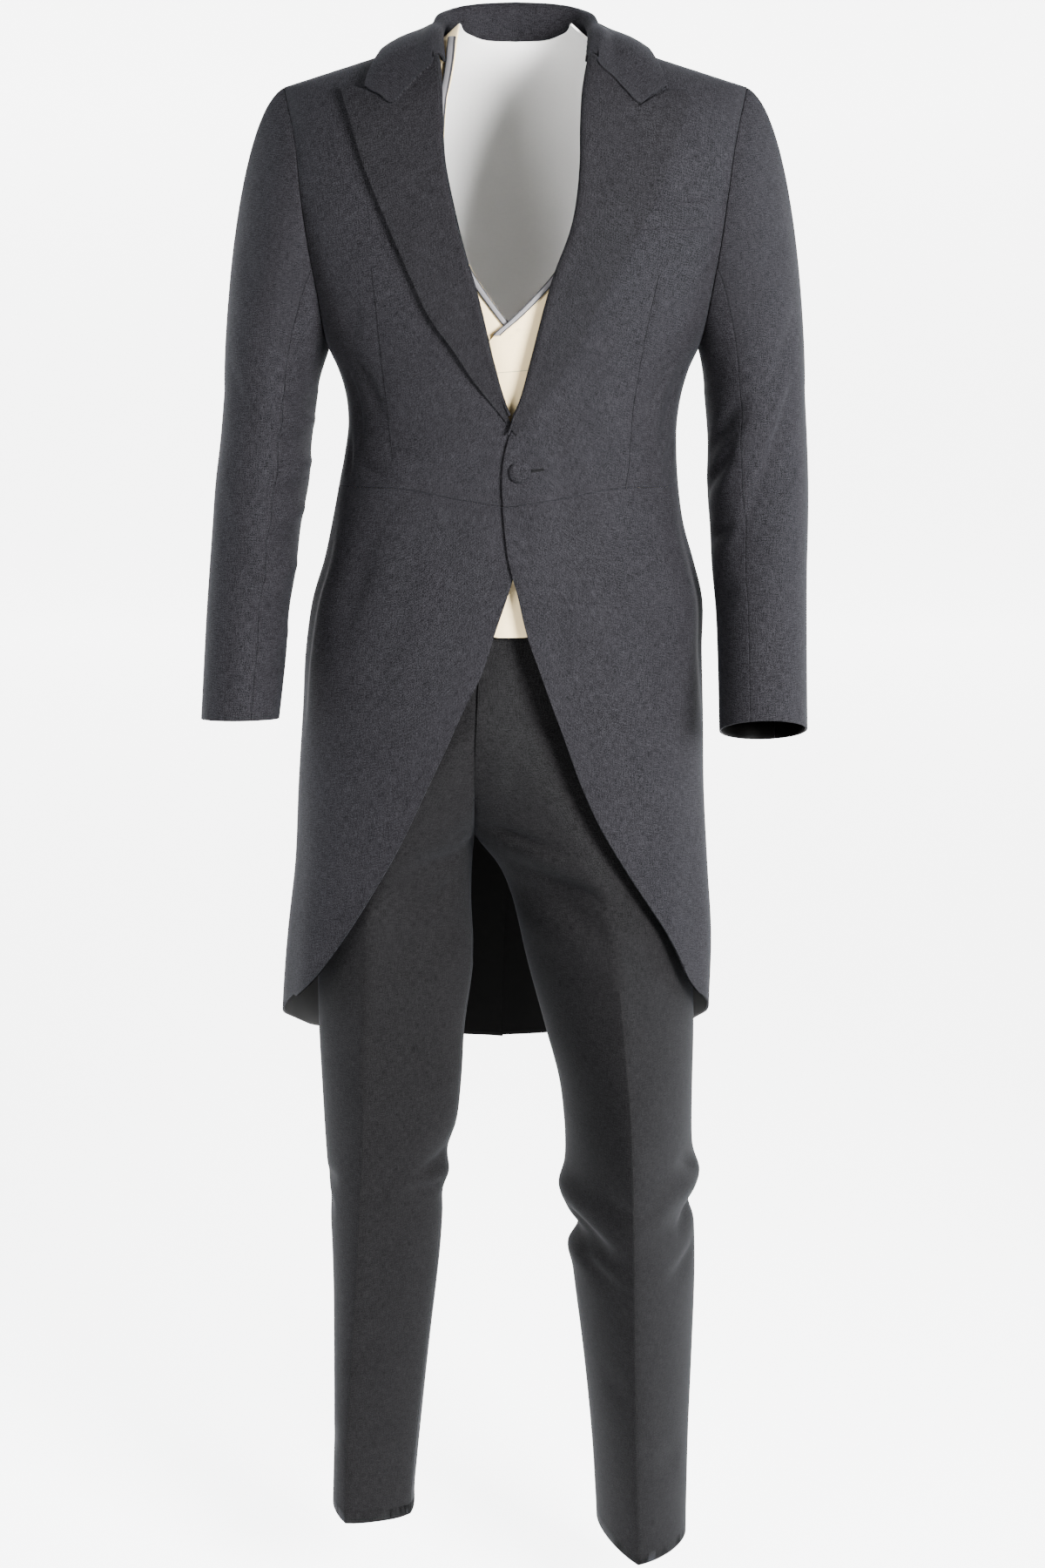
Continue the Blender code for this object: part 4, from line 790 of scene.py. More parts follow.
def mixed(tree, parts):
    """A weighted sum of values."""
    total = 0
    for value, weight in parts:
        add = tree.nodes.new("ShaderNodeMath")
        add.operation = "MULTIPLY_ADD"
        total = feed(tree, add, {0: value, 1: weight, 2: total})[0]
    return total


def shader(name, roughness, sheen):
    """A new material, its node tree and its shader."""
    material = bpy.data.materials.new(name)
    material.use_nodes = True
    tree = material.node_tree
    surface = tree.nodes["Principled BSDF"]
    feed(tree, surface, {"Roughness": roughness, "Specular IOR Level": CLOTH_SPECULAR})
    feed(tree, surface, {"Sheen Weight": sheen, "Sheen Roughness": SHEEN_ROUGHNESS})
    feed(tree, surface, {"Sheen Tint": SHEEN_TINT})
    return material, tree, surface


def tinted(tree, surface, value, tones, dark, light):
    """Colours the shader from dark to light as a value goes between two tones."""
    span = tree.nodes.new("ShaderNodeMapRange")
    share = feed(tree, span, {"From Min": tones[0], "From Max": tones[1], "Value": value})
    blend = tree.nodes.new("ShaderNodeMix")
    blend.data_type = "RGBA"
    feed(tree, blend, {"A": (*dark, 1), "B": (*light, 1), "Factor": share["Result"]})
    feed(tree, surface, {"Base Color": blend.outputs["Result"]})


def raised(tree, surface, height, depth, strength):
    """Raises the shader's surface where the height is great."""
    bump = tree.nodes.new("ShaderNodeBump")
    feed(tree, bump, {"Distance": depth * MM, "Strength": strength, "Height": height})
    feed(tree, surface, {"Normal": bump.outputs["Normal"]})


def woven(name, dark, light, sheen):
    """Cloth of mixed yarns: flecks, and faint streaks along the warp and across it."""
    material, tree, surface = shader(name, WOVEN_ROUGHNESS, sheen)
    place = in_millimetres(tree)
    fleck = noise(tree, place, FLECK, FLECK, 1.0)
    warp = noise(tree, place, YARN, YARN_RUN)
    weft = noise(tree, place, YARN_RUN, YARN)
    cloud = noise(tree, place, CLOUD, CLOUD)
    tone = mixed(tree, [(fleck, 0.54), (warp, 0.21), (weft, 0.21), (cloud, 0.04)])
    tinted(tree, surface, tone, WEAVE_TONES, dark, light)
    raised(tree, surface, mixed(tree, [(fleck, 0.6), (warp, 0.2), (weft, 0.2)]), 0.3, 0.5)
    return material


def smooth_cloth(name, colour, roughness, sheen=0.0, shade=0.86):
    """A close, even cloth with a faint grain."""
    material, tree, surface = shader(name, roughness, sheen)
    place = in_millimetres(tree)
    along = noise(tree, place, GRAIN, GRAIN_LENGTH)
    across = noise(tree, place, GRAIN_LENGTH, GRAIN)
    grain = mixed(tree, [(along, 0.5), (across, 0.5)])
    tinted(tree, surface, grain, GRAIN_TONES, [shade * part for part in colour], colour)
    raised(tree, surface, grain, 0.15, 0.3)
    return material


def make_materials():
    return {
        "wool": woven("charcoal_wool", CHARCOAL_DARK, CHARCOAL_LIGHT, 0.018),
        # Painted shade: a darker copy of the coat's wool for the lapels and the collar
        "lapel_wool": woven("lapel_wool", LAPEL_PAINTED_SHADE_DARK, LAPEL_PAINTED_SHADE_LIGHT, 0.015),
        "trouser_wool": woven("trouser_wool", TROUSER_DARK, TROUSER_LIGHT, 0.02),
        "lining": smooth_cloth("dark_lining", LINING, 0.5),
        "facing": woven("charcoal_inside", TROUSER_DARK, TROUSER_LIGHT, 0.015),
        "cream": smooth_cloth("waistcoat_cloth", CREAM, 0.8, 0.1, 0.95),
        "ivory": smooth_cloth("waistcoat_lining", IVORY, 0.55, 0.1, 0.96),
        "satin": smooth_cloth("piping_satin", SATIN, 0.42),
        "satin_edge": smooth_cloth("piping_edge", SATIN_EDGE, 0.6),
        # Painted shade: dark lines for the darts and the buttonhole's slit
        "thread": smooth_cloth("seam_shade", SEAM_SHADE, 0.9),
        # Painted shade: the waistcoat's seam line
        "cream_shade": smooth_cloth("waistcoat_seam_shade", CREAM_SHADE, 0.8),
    }


def lengths(points):
    """How far each point of a grid lies along its row and up its column."""
    across = np.linalg.norm(np.diff(points, axis=1), axis=-1)
    up = np.linalg.norm(np.diff(points, axis=0), axis=-1)
    across = np.pad(np.cumsum(across, axis=1), ((0, 0), (1, 0)))
    up = np.pad(np.cumsum(up, axis=0), ((1, 0), (0, 0)))
    return across, up


def grain_from(points, zero):
    """Places on the grain: across from the line where zero is 0, and up."""
    across, _ = lengths(points)
    start = [np.interp(0, line, row) for line, row in zip(zero, across)]
    return np.stack([across - np.array(start)[:, None], points[..., 2]], -1)


def new_piece(name, points, faces, materials, laid=None):
    """A smooth piece of the suit. laid holds each point's place on the grain."""
    mesh = bpy.data.meshes.new(name)
    mesh.from_pydata((points.reshape(-1, 3) * MM).tolist(), [], faces)
    spread = mesh.uv_layers.new(name="cloth")
    if laid is not None:
        corners = np.empty(len(mesh.loops), np.int32)
        mesh.loops.foreach_get("vertex_index", corners)
        spread.data.foreach_set("uv", (laid.reshape(-1, 2) * MM)[corners].reshape(-1))
    for material in filter(None, materials):
        mesh.materials.append(MATERIALS[material])
    mesh.shade_smooth()
    piece = bpy.data.objects.new(name, mesh)
    bpy.context.scene.collection.objects.link(piece)
    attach(piece, "root")
    return piece


def tube(rings):
    """The faces between neighbouring rings, and the numbers of the rings' points."""
    index = np.arange(rings[..., 0].size).reshape(rings.shape[:2])
    around = np.roll(index, -1, axis=1)
    faces = np.stack([index[:-1], around[:-1], around[1:], index[1:]], -1)
    return faces.reshape(-1, 4), index


def cloth(node, walls, outside, inside, laid=None, edging=None):
    """A piece of cloth that stands for its solid. laid holds each point's place on the grain."""
    outer, inner = walls
    deep = outer[..., 0].size
    index = np.arange(deep).reshape(outer.shape[:2])
    square = np.stack([index[:-1, :-1], index[:-1, 1:], index[1:, 1:], index[1:, :-1]], -1)
    sides = [index[0, ::-1], index[1:, 0], index[-1, 1:], index[-2:0:-1, -1], index[:1, -1]]
    rim = np.concatenate(sides)
    rim = np.stack([rim[:-1], rim[1:], rim[1:] + deep, rim[:-1] + deep], -1)
    faces = [square.reshape(-1, 4), square[..., ::-1].reshape(-1, 4) + deep, rim]
    slots = [np.full(square.shape[:2], slot) for slot in (0, 1)] + [np.zeros(len(rim), int)]
    if edging:
        slots[0][:, :PIPING_EDGE_COLUMNS] = slots[0][:, -PIPING_EDGE_COLUMNS:] = 2
        slots[2][:] = 2
    facing = np.cross(outer[:-1, 1:] - outer[:-1, :-1], outer[1:, :-1] - outer[:-1, :-1])
    faces = np.concatenate(faces)
    if (facing * (outer - inner)[:-1, :-1]).sum() < 0:
        faces = faces[:, ::-1]
    laid = np.stack(lengths(outer), -1) if laid is None else laid
    laid = np.tile(laid.reshape(-1, 2), (2, 1))
    materials = outside, inside, edging
    piece = new_piece(node + "_cloth", np.stack(walls), faces.tolist(), materials, laid)
    slots = np.concatenate([slot.reshape(-1) for slot in slots])
    piece.data.polygons.foreach_set("material_index", slots)
    soften = piece.modifiers.new("edge", "BEVEL")
    soften.width, soften.segments = EDGE_ROUND * MM, 2
    soften.limit_method, soften.angle_limit = "ANGLE", np.radians(EDGE_ANGLE)
    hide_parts(node)
    return piece


def cord_along(name, points, facing, size, material):
    """A thin, flattened cord along a line on the cloth: a thread, or a dark line of painted shade.
    """
    lift, half_width, half_height = size
    points = points + facing * lift
    across = np.cross(facing, unit(np.gradient(points, axis=0)))
    turn = np.radians(np.arange(0, 360, CORD_TURN))[None, :, None]
    ring = across[:, None] * np.cos(turn) * half_width
    rings = points[:, None] + (ring + facing[:, None] * np.sin(turn) * half_height)
    faces, index = tube(rings)
    faces = faces.tolist() + [index[0, ::-1].tolist(), index[-1].tolist()]
    piece = new_piece(name, rings, faces, [material])


def armhole_stretch(start, end, count):
    """Pairs along the armhole, which turns from 0 at the shoulder tip, down the front."""
    turn = np.radians(np.linspace(start, end, ARMHOLE_STEPS))
    drop = ARMHOLE_DEPTH / 2 * (1 - np.cos(turn))
    front = angle_at(read(ARMHOLE, "front", drop) + read(BODY, "shift", drop), drop)
    back = 180 - angle_at(read(ARMHOLE, "back", drop) + read(BODY, "shift", drop), drop)
    pairs = turned(np.stack([np.where(turn <= np.pi, front, back), drop], -1))
    return spaced(pairs, along_line(coat_face(*pairs.T)), count)


def armhole_front():
    return armhole_stretch(0, SIDE_SEAM_TURN, ARMHOLE_FRONT_ROWS)


def armhole_under():
    return armhole_stretch(SIDE_SEAM_TURN, BACK_SEAM_TURN, SIDE_COLUMNS)


def armhole_back():
    return armhole_stretch(BACK_SEAM_TURN, 360, ARMHOLE_BACK_ROWS)


def side_seam():
    """From the waist up to the armhole."""
    return evenly([drop_point(WAIST_SEAM, SIDE_ANGLE), armhole_front()[-1]], SIDE_ROWS)


def side_back_seam():
    """From the waist up to the armhole."""
    drops = SIDE_BACK_SEAM["drop"][::-1]
    pairs = turned(np.stack([SIDE_BACK_SEAM["angle"][::-1], drops], -1))
    pairs[0] = drop_point(WAIST_SEAM, PLEAT_ANGLE)
    pairs[-1] = armhole_under()[-1]
    return evenly(pairs, SIDE_ROWS)


def pleat_line():
    """From the hem up to the waist."""
    return evenly([drop_point(rows, PLEAT_ANGLE) for rows in (HEM, WAIST_SEAM)], SKIRT_ROWS)


def shoulder_seam(columns):
    """From the collar out to the tip, along the shoulder line."""
    x = np.linspace(COLLAR_SEAM_HALF, SHOULDER_HALF, columns + 1)
    angle = angle_at(x, -ridge(x))
    angle[-1] = 90
    return np.stack([angle, np.zeros(columns + 1)], -1)


def front_pairs(points, side):
    """Pairs of the front for (x, drop) points given as though on the wearer's left."""
    return on_body(np.asarray(points, float) * (side, 1)) * (side, 1)


def edge_pairs(rows, side):
    """A table of an edge as close pairs, bottom first, as though on the wearer's left."""
    points = evenly(np.stack([rows["x"] * side, rows["drop"]], -1), EDGE_STEPS)
    return front_pairs(points[::-1], side)


def front_lift(side, grid):
    """How far the front that laps over is lifted off the round, near the centre."""
    x, drop = place_of(side, grid)
    lapping = ease(*FRONT_LAP_EDGE, x) * ease(*FRONT_LAP_TOP, drop)
    return FRONT_OVERLAP_LIFT * lapping * (side > 0)


def front_grid(side):
    """Pairs of a forepart, as though on the wearer's left."""
    top = shoulder_seam(FRONT_COLUMNS)
    edge = np.concatenate([edge_pairs(FRONT_EDGE[side], side), top[:1]])
    edge = evenly(edge, SIDE_ROWS + ARMHOLE_FRONT_ROWS)
    right = joined(side_seam(), armhole_front()[::-1])
    bottom = drop_line(WAIST_SEAM, edge[0, 0], SIDE_ANGLE, FRONT_COLUMNS)
    bottom[0] = edge[0]
    return patch(bottom, top, edge, right)


def coat_wall(side, grid, lift=0, thickness=COAT_CLOTH):
    return wall(dressed_coat, grid * (side, 1), lift, thickness)


def coat_grain(side, grid):
    """Places on the coat's grain, which follows the length of cloth round the waist."""
    angles = np.arange(-190.0, 191.0)
    around = along_line(coat_face(angles, np.full(len(angles), GRAIN_RUN)))
    return np.stack([np.interp(side * grid[..., 0], angles, around), -grid[..., 1]], -1)


def line_distance(x, drop, line):
    """How far places lie from a line of (x, drop) points."""
    nearest = np.full(x.shape, np.inf)
    for (ax, ad), (bx, bd) in zip(line, line[1:]):
        run_x, run_d = bx - ax, bd - ad
        share = ((x - ax) * run_x + (drop - ad) * run_d) / (run_x**2 + run_d**2)
        share = np.clip(share, 0, 1)
        nearest = np.minimum(nearest, np.hypot(x - ax - share * run_x, drop - ad - share * run_d))
    return nearest


def coat_front(side):
    grid = front_grid(side)
    away = line_distance(*place_of(side, grid), DART_LINES[side])
    lift = front_lift(side, grid) + DART_DEPTH[side] * np.exp(-((away / DART_WIDTH) ** 2))
    walls = parted(coat_wall(side, grid, lift), "bottom", "top", "right")
    name = SIDES[side]
    piece = cloth(f"coat_front_{name}", walls, "wool", "lining", coat_grain(side, grid))


def coat_side(side):
    bottom = drop_line(WAIST_SEAM, SIDE_ANGLE, PLEAT_ANGLE, SIDE_COLUMNS)
    grid = patch(bottom, armhole_under(), side_seam(), side_back_seam())
    walls = parted(coat_wall(side, grid), "bottom", "top", "left", "right")
    name = SIDES[side]
    piece = cloth(f"coat_side_{name}", walls, "wool", "lining", coat_grain(side, grid))


def coat_back(side):
    """One back, from the nape to the tail's hem, with the left tail over the right."""
    nape = turned([(180, NAPE_DROP)])[0]
    shoulder = shoulder_seam(FRONT_COLUMNS)
    shoulder[:, 0] = 180 - shoulder[:, 0]
    neck = on_body([(x, NAPE_DROP) for x in BACK_NECK], behind=True)
    neck = evenly(np.concatenate([neck, shoulder[:1]]), NECK_COLUMNS)
    neck[0] = nape
    top = joined(neck, shoulder)
    right = joined(pleat_line(), side_back_seam(), armhole_back())
    waist = turned([(180, BACK_WAIST_DROP)])[0]
    tail = evenly([drop_point(HEM, 180), waist], SKIRT_ROWS)
    centre = joined(tail, evenly([waist, nape], SIDE_ROWS + ARMHOLE_BACK_ROWS))
    bottom = drop_line(HEM, 180, PLEAT_ANGLE, NECK_COLUMNS + FRONT_COLUMNS)
    grid = patch(bottom, top, centre, right)
    _, drop = place_of(1, grid)
    vent = ease(*VENT_TOP, drop)
    near = ease(*VENT_REACH, grid[..., 0])
    lift = VENT_LIFT * ease(*VENT_LIFT_REACH, grid[..., 0]) * vent if side > 0 else 0
    grid[..., 0] += (VENT_OVERLAP if side > 0 else VENT_UNDERLAP) * near * vent
    grid[..., 1] = np.where(near * vent > 0, run_at(grid[..., 0], drop), grid[..., 1])
    walls = parted(coat_wall(side, grid, lift), "top", "left", "right")
    name = SIDES[side]
    piece = cloth(f"coat_back_{name}", walls, "wool", "lining", coat_grain(side, grid))


def coat_skirt(side):
    """The cutaway skirt, which hangs from the waist seam."""
    left = evenly(edge_pairs(CUTAWAY[side], side), SKIRT_ROWS)
    right = pleat_line()
    top = drop_line(WAIST_SEAM, left[-1, 0], SIDE_ANGLE, FRONT_COLUMNS)
    top[0] = left[-1]
    top = joined(top, drop_line(WAIST_SEAM, SIDE_ANGLE, PLEAT_ANGLE, SIDE_COLUMNS))
    bottom = drop_line(HEM, left[0, 0], PLEAT_ANGLE, len(top) - 1)
    bottom[0], bottom[-1] = left[0], right[0]
    grid = patch(bottom, top, left, right)
    walls = parted(coat_wall(side, grid, front_lift(side, grid)), "top", "right")
    name = SIDES[side]
    piece = cloth(f"coat_skirt_{name}", walls, "wool", "lining", coat_grain(side, grid))


def armhole_loop(side):
    """Points of the whole armhole, how the body faces there, and the way into the opening."""
    pairs = joined(armhole_front(), armhole_under(), armhole_back())[:-1]
    angles = side * pairs[:, 0]
    points = coat_face(angles, pairs[:, 1])
    facing = outward(coat_face, angles, pairs[:, 1])
    along = unit(np.roll(points, -1, axis=0) - np.roll(points, 1, axis=0))
    inward = unit(np.cross(along, facing))
    towards = points.mean(axis=0) - points
    inward *= np.sign((inward * towards).sum(axis=1, keepdims=True))
    return points, facing, inward


def sleeve_ring(side, turns, drop):
    """One ring of the sleeve: turn 0 is the outer side and 90 the front."""
    rows = SLEEVE[side]
    outer, inner = side * read(rows, "outer", drop), side * read(rows, "inner", drop)
    depth = read(rows, "depth", drop)
    radians = np.radians(turns)
    x = (outer + inner) / 2 + (outer - inner) / 2 * np.cos(radians)
    forward = depth * np.sin(radians)
    y = read(rows, "middle", drop) - forward
    z = -drop + forward * np.tan(np.radians(read(rows, "tilt", drop)))
    return np.stack([x, y, z + 0 * x], -1)


def sleeve_grid(side):
    """Rings from the armhole to the cuff, and how far round each point is."""
    loop, facing, inward = armhole_loop(side)
    steps = np.linalg.norm(np.roll(loop, -1, axis=0) - loop, axis=1)
    turns = 360 * np.concatenate([[0], np.cumsum(steps)[:-1]]) / steps.sum()
    start = loop + (facing + inward) * SEAM
    first = SLEEVE[side]["drop"][0]
    end = sleeve_ring(side, turns, first)
    span = np.linalg.norm(end - start, axis=1, keepdims=True)
    head = [read(SLEEVE_HEAD, column, turns) for column in ("out", "fore", "down")]
    leave = np.stack([side * head[0], -head[1], -head[2]], -1) * span
    arrive = np.array((0, 0, -SLEEVE_FALL)) * span
    rings = []
    for share in np.linspace(0, 1, SLEEVE_HEAD_ROWS + 1)[:-1]:
        ahead = 1 - share
        rings.append(
            (1 + 2 * share) * ahead**2 * start
            + share * ahead**2 * leave
            + share**2 * (3 - 2 * share) * end
            - share**2 * ahead * arrive
        )
    for drop in np.linspace(first, SLEEVE[side]["drop"][-1], SLEEVE_ROWS + 1):
        rings.append(sleeve_ring(side, turns, drop))
    return np.array(rings), turns, inward


def ring_facing(rings, side):
    """Which way a tube of rings faces, outwards."""
    around = np.roll(rings, -1, axis=1) - np.roll(rings, 1, axis=1)
    down = np.gradient(rings, axis=0)
    return unit(np.cross(down, around)) * -side


def coat_sleeve(side):
    """The top sleeve and the under sleeve of one arm."""
    rings, turns, inward = sleeve_grid(side)
    share = np.linspace(0, 1, SLEEVE_HEAD_ROWS)[:, None]
    settle = np.ones((len(rings), 1))
    settle[:SLEEVE_HEAD_ROWS] = ease(0, SLEEVE_SETTLE, share)
    out = creases(SLEEVE_CREASES[side], SLEEVE_MM_PER_DEGREE, turns[None], -rings[..., 2]) * settle
    rings = rings + ring_facing(rings, side) * out[..., None]
    deep = -COAT_CLOTH * ring_facing(rings, side)
    back_in = np.minimum((deep[0] * inward).sum(axis=1, keepdims=True), 0)
    deep[0] = unit(deep[0] - back_in * inward) * COAT_CLOTH
    walls = np.stack([rings, rings + deep])
    count = rings.shape[1]
    spans = {
        "topsleeve": np.arange(HIND_ARM_COLUMN - count, FRONT_ARM_COLUMN + 1),
        "undersleeve": np.arange(FRONT_ARM_COLUMN, HIND_ARM_COLUMN + 1),
    }
    name = SIDES[side]
    for piece, columns in spans.items():
        part = parted(walls[:, :, columns % count], "left", "right")
        laid = grain_from(part[0], np.broadcast_to(columns - columns.mean(), part[0].shape[:2]))
        made = cloth(f"coat_{piece}_{name}", part, "wool", "lining", laid)


def lapel(side):
    """A peaked lapel, folded back over the forepart along the roll line."""
    foot = LAPEL_FOOT[side]
    drops = np.linspace(foot, LAPEL_HEAD[side], LAPEL_ROWS + 1)
    edge_x = side * read(FRONT_EDGE[side], "x", drops)
    left = evenly(front_pairs(np.stack([edge_x, drops], -1), side), LAPEL_ROWS)
    right = evenly(edge_pairs(LAPEL_EDGE[side], side), LAPEL_ROWS)
    peak = np.stack([PEAK[side]["x"], PEAK[side]["drop"]], -1)
    gorge = evenly(np.array([(edge_x[-1], drops[-1]), peak[0]]), GORGE_COLUMNS)
    top = front_pairs(joined(gorge, evenly(peak, PEAK_COLUMNS)), side)
    top[0], top[-1] = left[-1], right[-1]
    bottom = evenly([left[0], right[0]], GORGE_COLUMNS + PEAK_COLUMNS)
    grid = patch(bottom, top, left, right)
    beyond = [grid[:, :1] - (ROLL_BEYOND[side] * share, 0) for share in ROLL["share"]]
    grid = np.concatenate([*beyond, grid], axis=1)
    columns = np.arange(grid.shape[1])
    lift = LAPEL_LIFT + ROLL_CROWN * np.exp(-((columns - len(beyond)) / ROLL_COLUMNS) ** 2)
    lift[: len(beyond)] = ROLL["lift"]
    _, drop = place_of(side, grid)
    lift = LAPEL_FOOT_LIFT + (lift - LAPEL_FOOT_LIFT) * ease(foot + 4, foot - LAPEL_FADE, drop)
    outer = coat_wall(side, grid, lift + front_lift(side, grid), 0)[0]
    down, across = np.gradient(outer, axis=0), np.gradient(outer, axis=1)
    facing = unit(np.cross(down, across)) * -side
    walls = outer, outer - facing * LAPEL_CLOTH
    name = SIDES[side]
    # The lapel's face wears the coat's wool painted darker, as painted shade
    piece = cloth(f"coat_lapel_{name}", walls, "lapel_wool", "wool", coat_grain(side, grid))


def clear_of_coat(points, angle, run, lift):
    """The points moved out, where need be, to lie this far off the coat's face."""
    for _ in range(CLEAR_ROUNDS):
        over_angle, over_run = slopes(coat_face, angle, run)
        over_angle, over_run = over_angle / (2 * ANGLE_STEP), over_run / (2 * RUN_STEP)
        away = points - coat_face(angle, run)
        aa, rr = (over_angle**2).sum(-1), (over_run**2).sum(-1)
        ar = (over_angle * over_run).sum(-1)
        a, r = (over_angle * away).sum(-1), (over_run * away).sum(-1)
        spread = aa * rr - ar * ar + 1e-9
        angle = angle + np.clip((rr * a - ar * r) / spread, -ANGLE_REACH, ANGLE_REACH)
        run = run + np.clip((aa * r - ar * a) / spread, -RUN_REACH, RUN_REACH)
        run = np.maximum(run, 0)
    foot, facing = coat_face(angle, run), outward(coat_face, angle, run)
    height = ((points - foot) * facing).sum(-1)
    return points + facing * np.maximum(lift - height, 0)[..., None]


def collar_half():
    """Points of the collar from its front end to the centre back, in rows from the neck seam
    up the inside, over the fold and down to the leaf's edge, on the wearer's left."""
    steps = np.linspace(0, COLLAR_STEPS, COLLAR_COLUMNS)
    fold, seam = (
        np.stack([read(COLLAR, f"{name}_{axis}", steps) for axis in "xyz"], -1)
        for name in ("fold", "seam")
    )
    x, drop = read(COLLAR, "leaf_x", steps), -read(COLLAR, "leaf_z", steps)
    drop = np.maximum(drop, -ridge(x))
    angle = angle_at(x + read(BODY, "shift", drop), drop)
    angle = np.where(steps > SHOULDER_STEP, 180 - angle, angle)
    run = np.where(np.abs(steps - SHOULDER_STEP) < 0.01, 0, run_at(angle, drop))
    facing = outward(coat_face, angle, run)
    leaf = coat_face(angle, run) + facing * COLLAR_LIFT
    across = unit((leaf - fold) * (1, 1, 0))
    inside = fold - across * FOLD_WIDTH - (0, 0, FOLD_DEPTH)
    rows = [seam, (seam + inside) / 2, inside, fold - across * FOLD_WIDTH / 2, fold]
    first = fold + across * FOLD_OVER - (0, 0, FOLD_DEPTH)
    crown = read(COLLAR, "crown", steps)[:, None]
    near_end = ease(COLLAR_END_REACH, 0, steps)[:, None]
    for share in LEAF_SHARES:
        place = first + (leaf - first) * share + facing * crown * 4 * share * (1 - share)
        place = clear_of_coat(place, angle, run, COLLAR_LIFT)
        end = front_pairs([[read(COLLAR_END, axis, share) for axis in ("x", "drop")]], 1)[0]
        end = coat_face(*end) + outward(coat_face, *end) * LAPEL_LIFT
        rows.append(place * (1 - near_end) + end * near_end)
    return np.array(rows)


def collar():
    half = collar_half()
    smooth = [evenly(half[:, column], COLLAR_ROWS) for column in range(half.shape[1])]
    half = np.stack(smooth, axis=1)
    grid = np.concatenate([half, half[:, -2::-1] * (-1, 1, 1)], axis=1)
    along, down = np.gradient(grid, axis=1), np.gradient(grid, axis=0)
    walls = grid, grid - unit(np.cross(along, down)) * LAPEL_CLOTH
    across, up = lengths(grid)
    laid = np.stack([across[COLLAR_GRAIN_ROW] + 0 * up, up], -1)
    # The collar wears the coat's wool painted darker, as painted shade
    piece = cloth("coat_collar", walls, "lapel_wool", "wool", laid)


def breast_welt():
    """The welt, laid on the wearer's left forepart with its inner end under the lapel."""
    corners = front_pairs(WELT_CORNERS, 1)
    top, bottom = (evenly(pair, WELT_COLUMNS) for pair in (corners[:2], corners[:1:-1]))
    left, right = (evenly(corners[pair], WELT_ROWS) for pair in ([3, 0], [2, 1]))
    grid = patch(bottom, top, left, right)
    up = np.linspace(0, 1, WELT_ROWS + 1)[:, None]
    lift = WELT_LIFT - WELT_SINK * ease(0.3, 0, up) + 0 * grid[..., 0]
    walls = coat_wall(1, grid, lift, WELT_CLOTH)
    piece = cloth("coat_breast_welt", walls, "wool", "wool", coat_grain(1, grid))


def button(node, angle, run, lift):
    """A domed button covered in the coat's cloth."""
    profile = evenly(BUTTON_PROFILE, BUTTON_RINGS) * (BUTTON_RADIUS, BUTTON_HEIGHT)
    turn = np.radians(np.arange(BUTTON_SEGMENTS) * 360 / BUTTON_SEGMENTS)
    facing = outward(coat_face, angle, run)
    centre = coat_face(angle, run) + facing * (lift + SEAM)
    right = unit(np.cross((0, 0, 1), facing))
    up = np.cross(facing, right)
    across = profile[:, :1] * np.cos(turn)
    above = profile[:, :1] * np.sin(turn)
    rings = centre + across[..., None] * right + above[..., None] * up
    rings = rings + profile[:, 1, None, None] * facing
    faces, index = tube(rings)
    faces = faces[:, ::-1].tolist() + [index[-1, ::-1].tolist()]
    piece = new_piece(node + "_cover", rings, faces, ["wool"], np.stack([across, above], -1))
    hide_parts(node)


def buttons():
    angle, run = front_pairs([BUTTON_PLACE], 1)[0]
    lift = front_lift(1, np.array([[angle, run]]))[0]
    button("coat_button", angle, run, lift)
    for side in SIDES:
        angle, run = turned([BACK_BUTTON_PLACE])[0]
        button(f"coat_backbutton_{SIDES[side]}", side * angle, run, BACK_BUTTON_LIFT)


def front_line(side, line, count):
    """Points and facings along a line of (x, drop) places on the dressed forepart."""
    pairs = front_pairs(evenly(np.array(line) * (side, 1.0), count), side)
    lift = front_lift(side, pairs)[:, None]
    angles = side * pairs[:, 0]
    facing = outward(dressed_coat, angles, pairs[:, 1])
    return dressed_coat(angles, pairs[:, 1]) + facing * lift, facing


def buttonhole():
    """A worked slit beside the button, drawn as a dark line of painted shade, with a bead of
    stitches on each side.
    """
    points, facing = front_line(1, BUTTONHOLE, 12)
    cord_along("buttonhole_slit", points, facing, SLIT, "thread")
    for name, aside in (("upper", BEAD_ASIDE), ("lower", -BEAD_ASIDE)):
        cord_along(f"buttonhole_{name}", points + (0, 0, aside), facing, BEAD, "facing")


def darts():
    # Each dart is drawn with a dark line of painted shade along its seam
    for side, line in DART_LINES.items():
        points, facing = front_line(side, line, 60)
        size = (DART_DEPTH[side] + DART_RISE, DART_SHADE_HALF_WIDTH[side], DART_HEIGHT)
        cord_along(f"dart_{SIDES[side]}", points, facing, size, "thread")


def waistcoat_inset(side, grid):
    """How deep the waistcoat lies under the coat's face; the right forepart goes under."""
    x, drop = place_of(side, grid)
    inset = read(WAISTCOAT_UNDER_SHOULDER, "inset", grid[..., 1])
    near_neck = ease(*WAISTCOAT_NECK_REACH, np.abs(x))
    inset = np.maximum(inset, WAISTCOAT_NECK_INSET * near_neck)
    inset = np.minimum(inset, read(WAISTCOAT_DEPTH, "inset", drop))
    if side < 0:
        lap = WAISTCOAT_LAP * ease(*WAISTCOAT_LAP_EDGE, x)
        inset = inset + lap * ease(*WAISTCOAT_LAP_TOP, drop)
    return inset


def waistcoat_shoulder(columns, side=-1):
    x = np.linspace(WAISTCOAT_NECK_HALF[side], WAISTCOAT_SHOULDER_HALF, columns + 1)
    return np.stack([angle_at(x, -ridge(x)), np.zeros(columns + 1)], -1)


def waistcoat_side_seam():
    pairs = turned([(WAISTCOAT_SIDE_ANGLE, drop) for drop in WAISTCOAT_SIDE_DROPS])
    return evenly(pairs, WAISTCOAT_SIDE_ROWS)


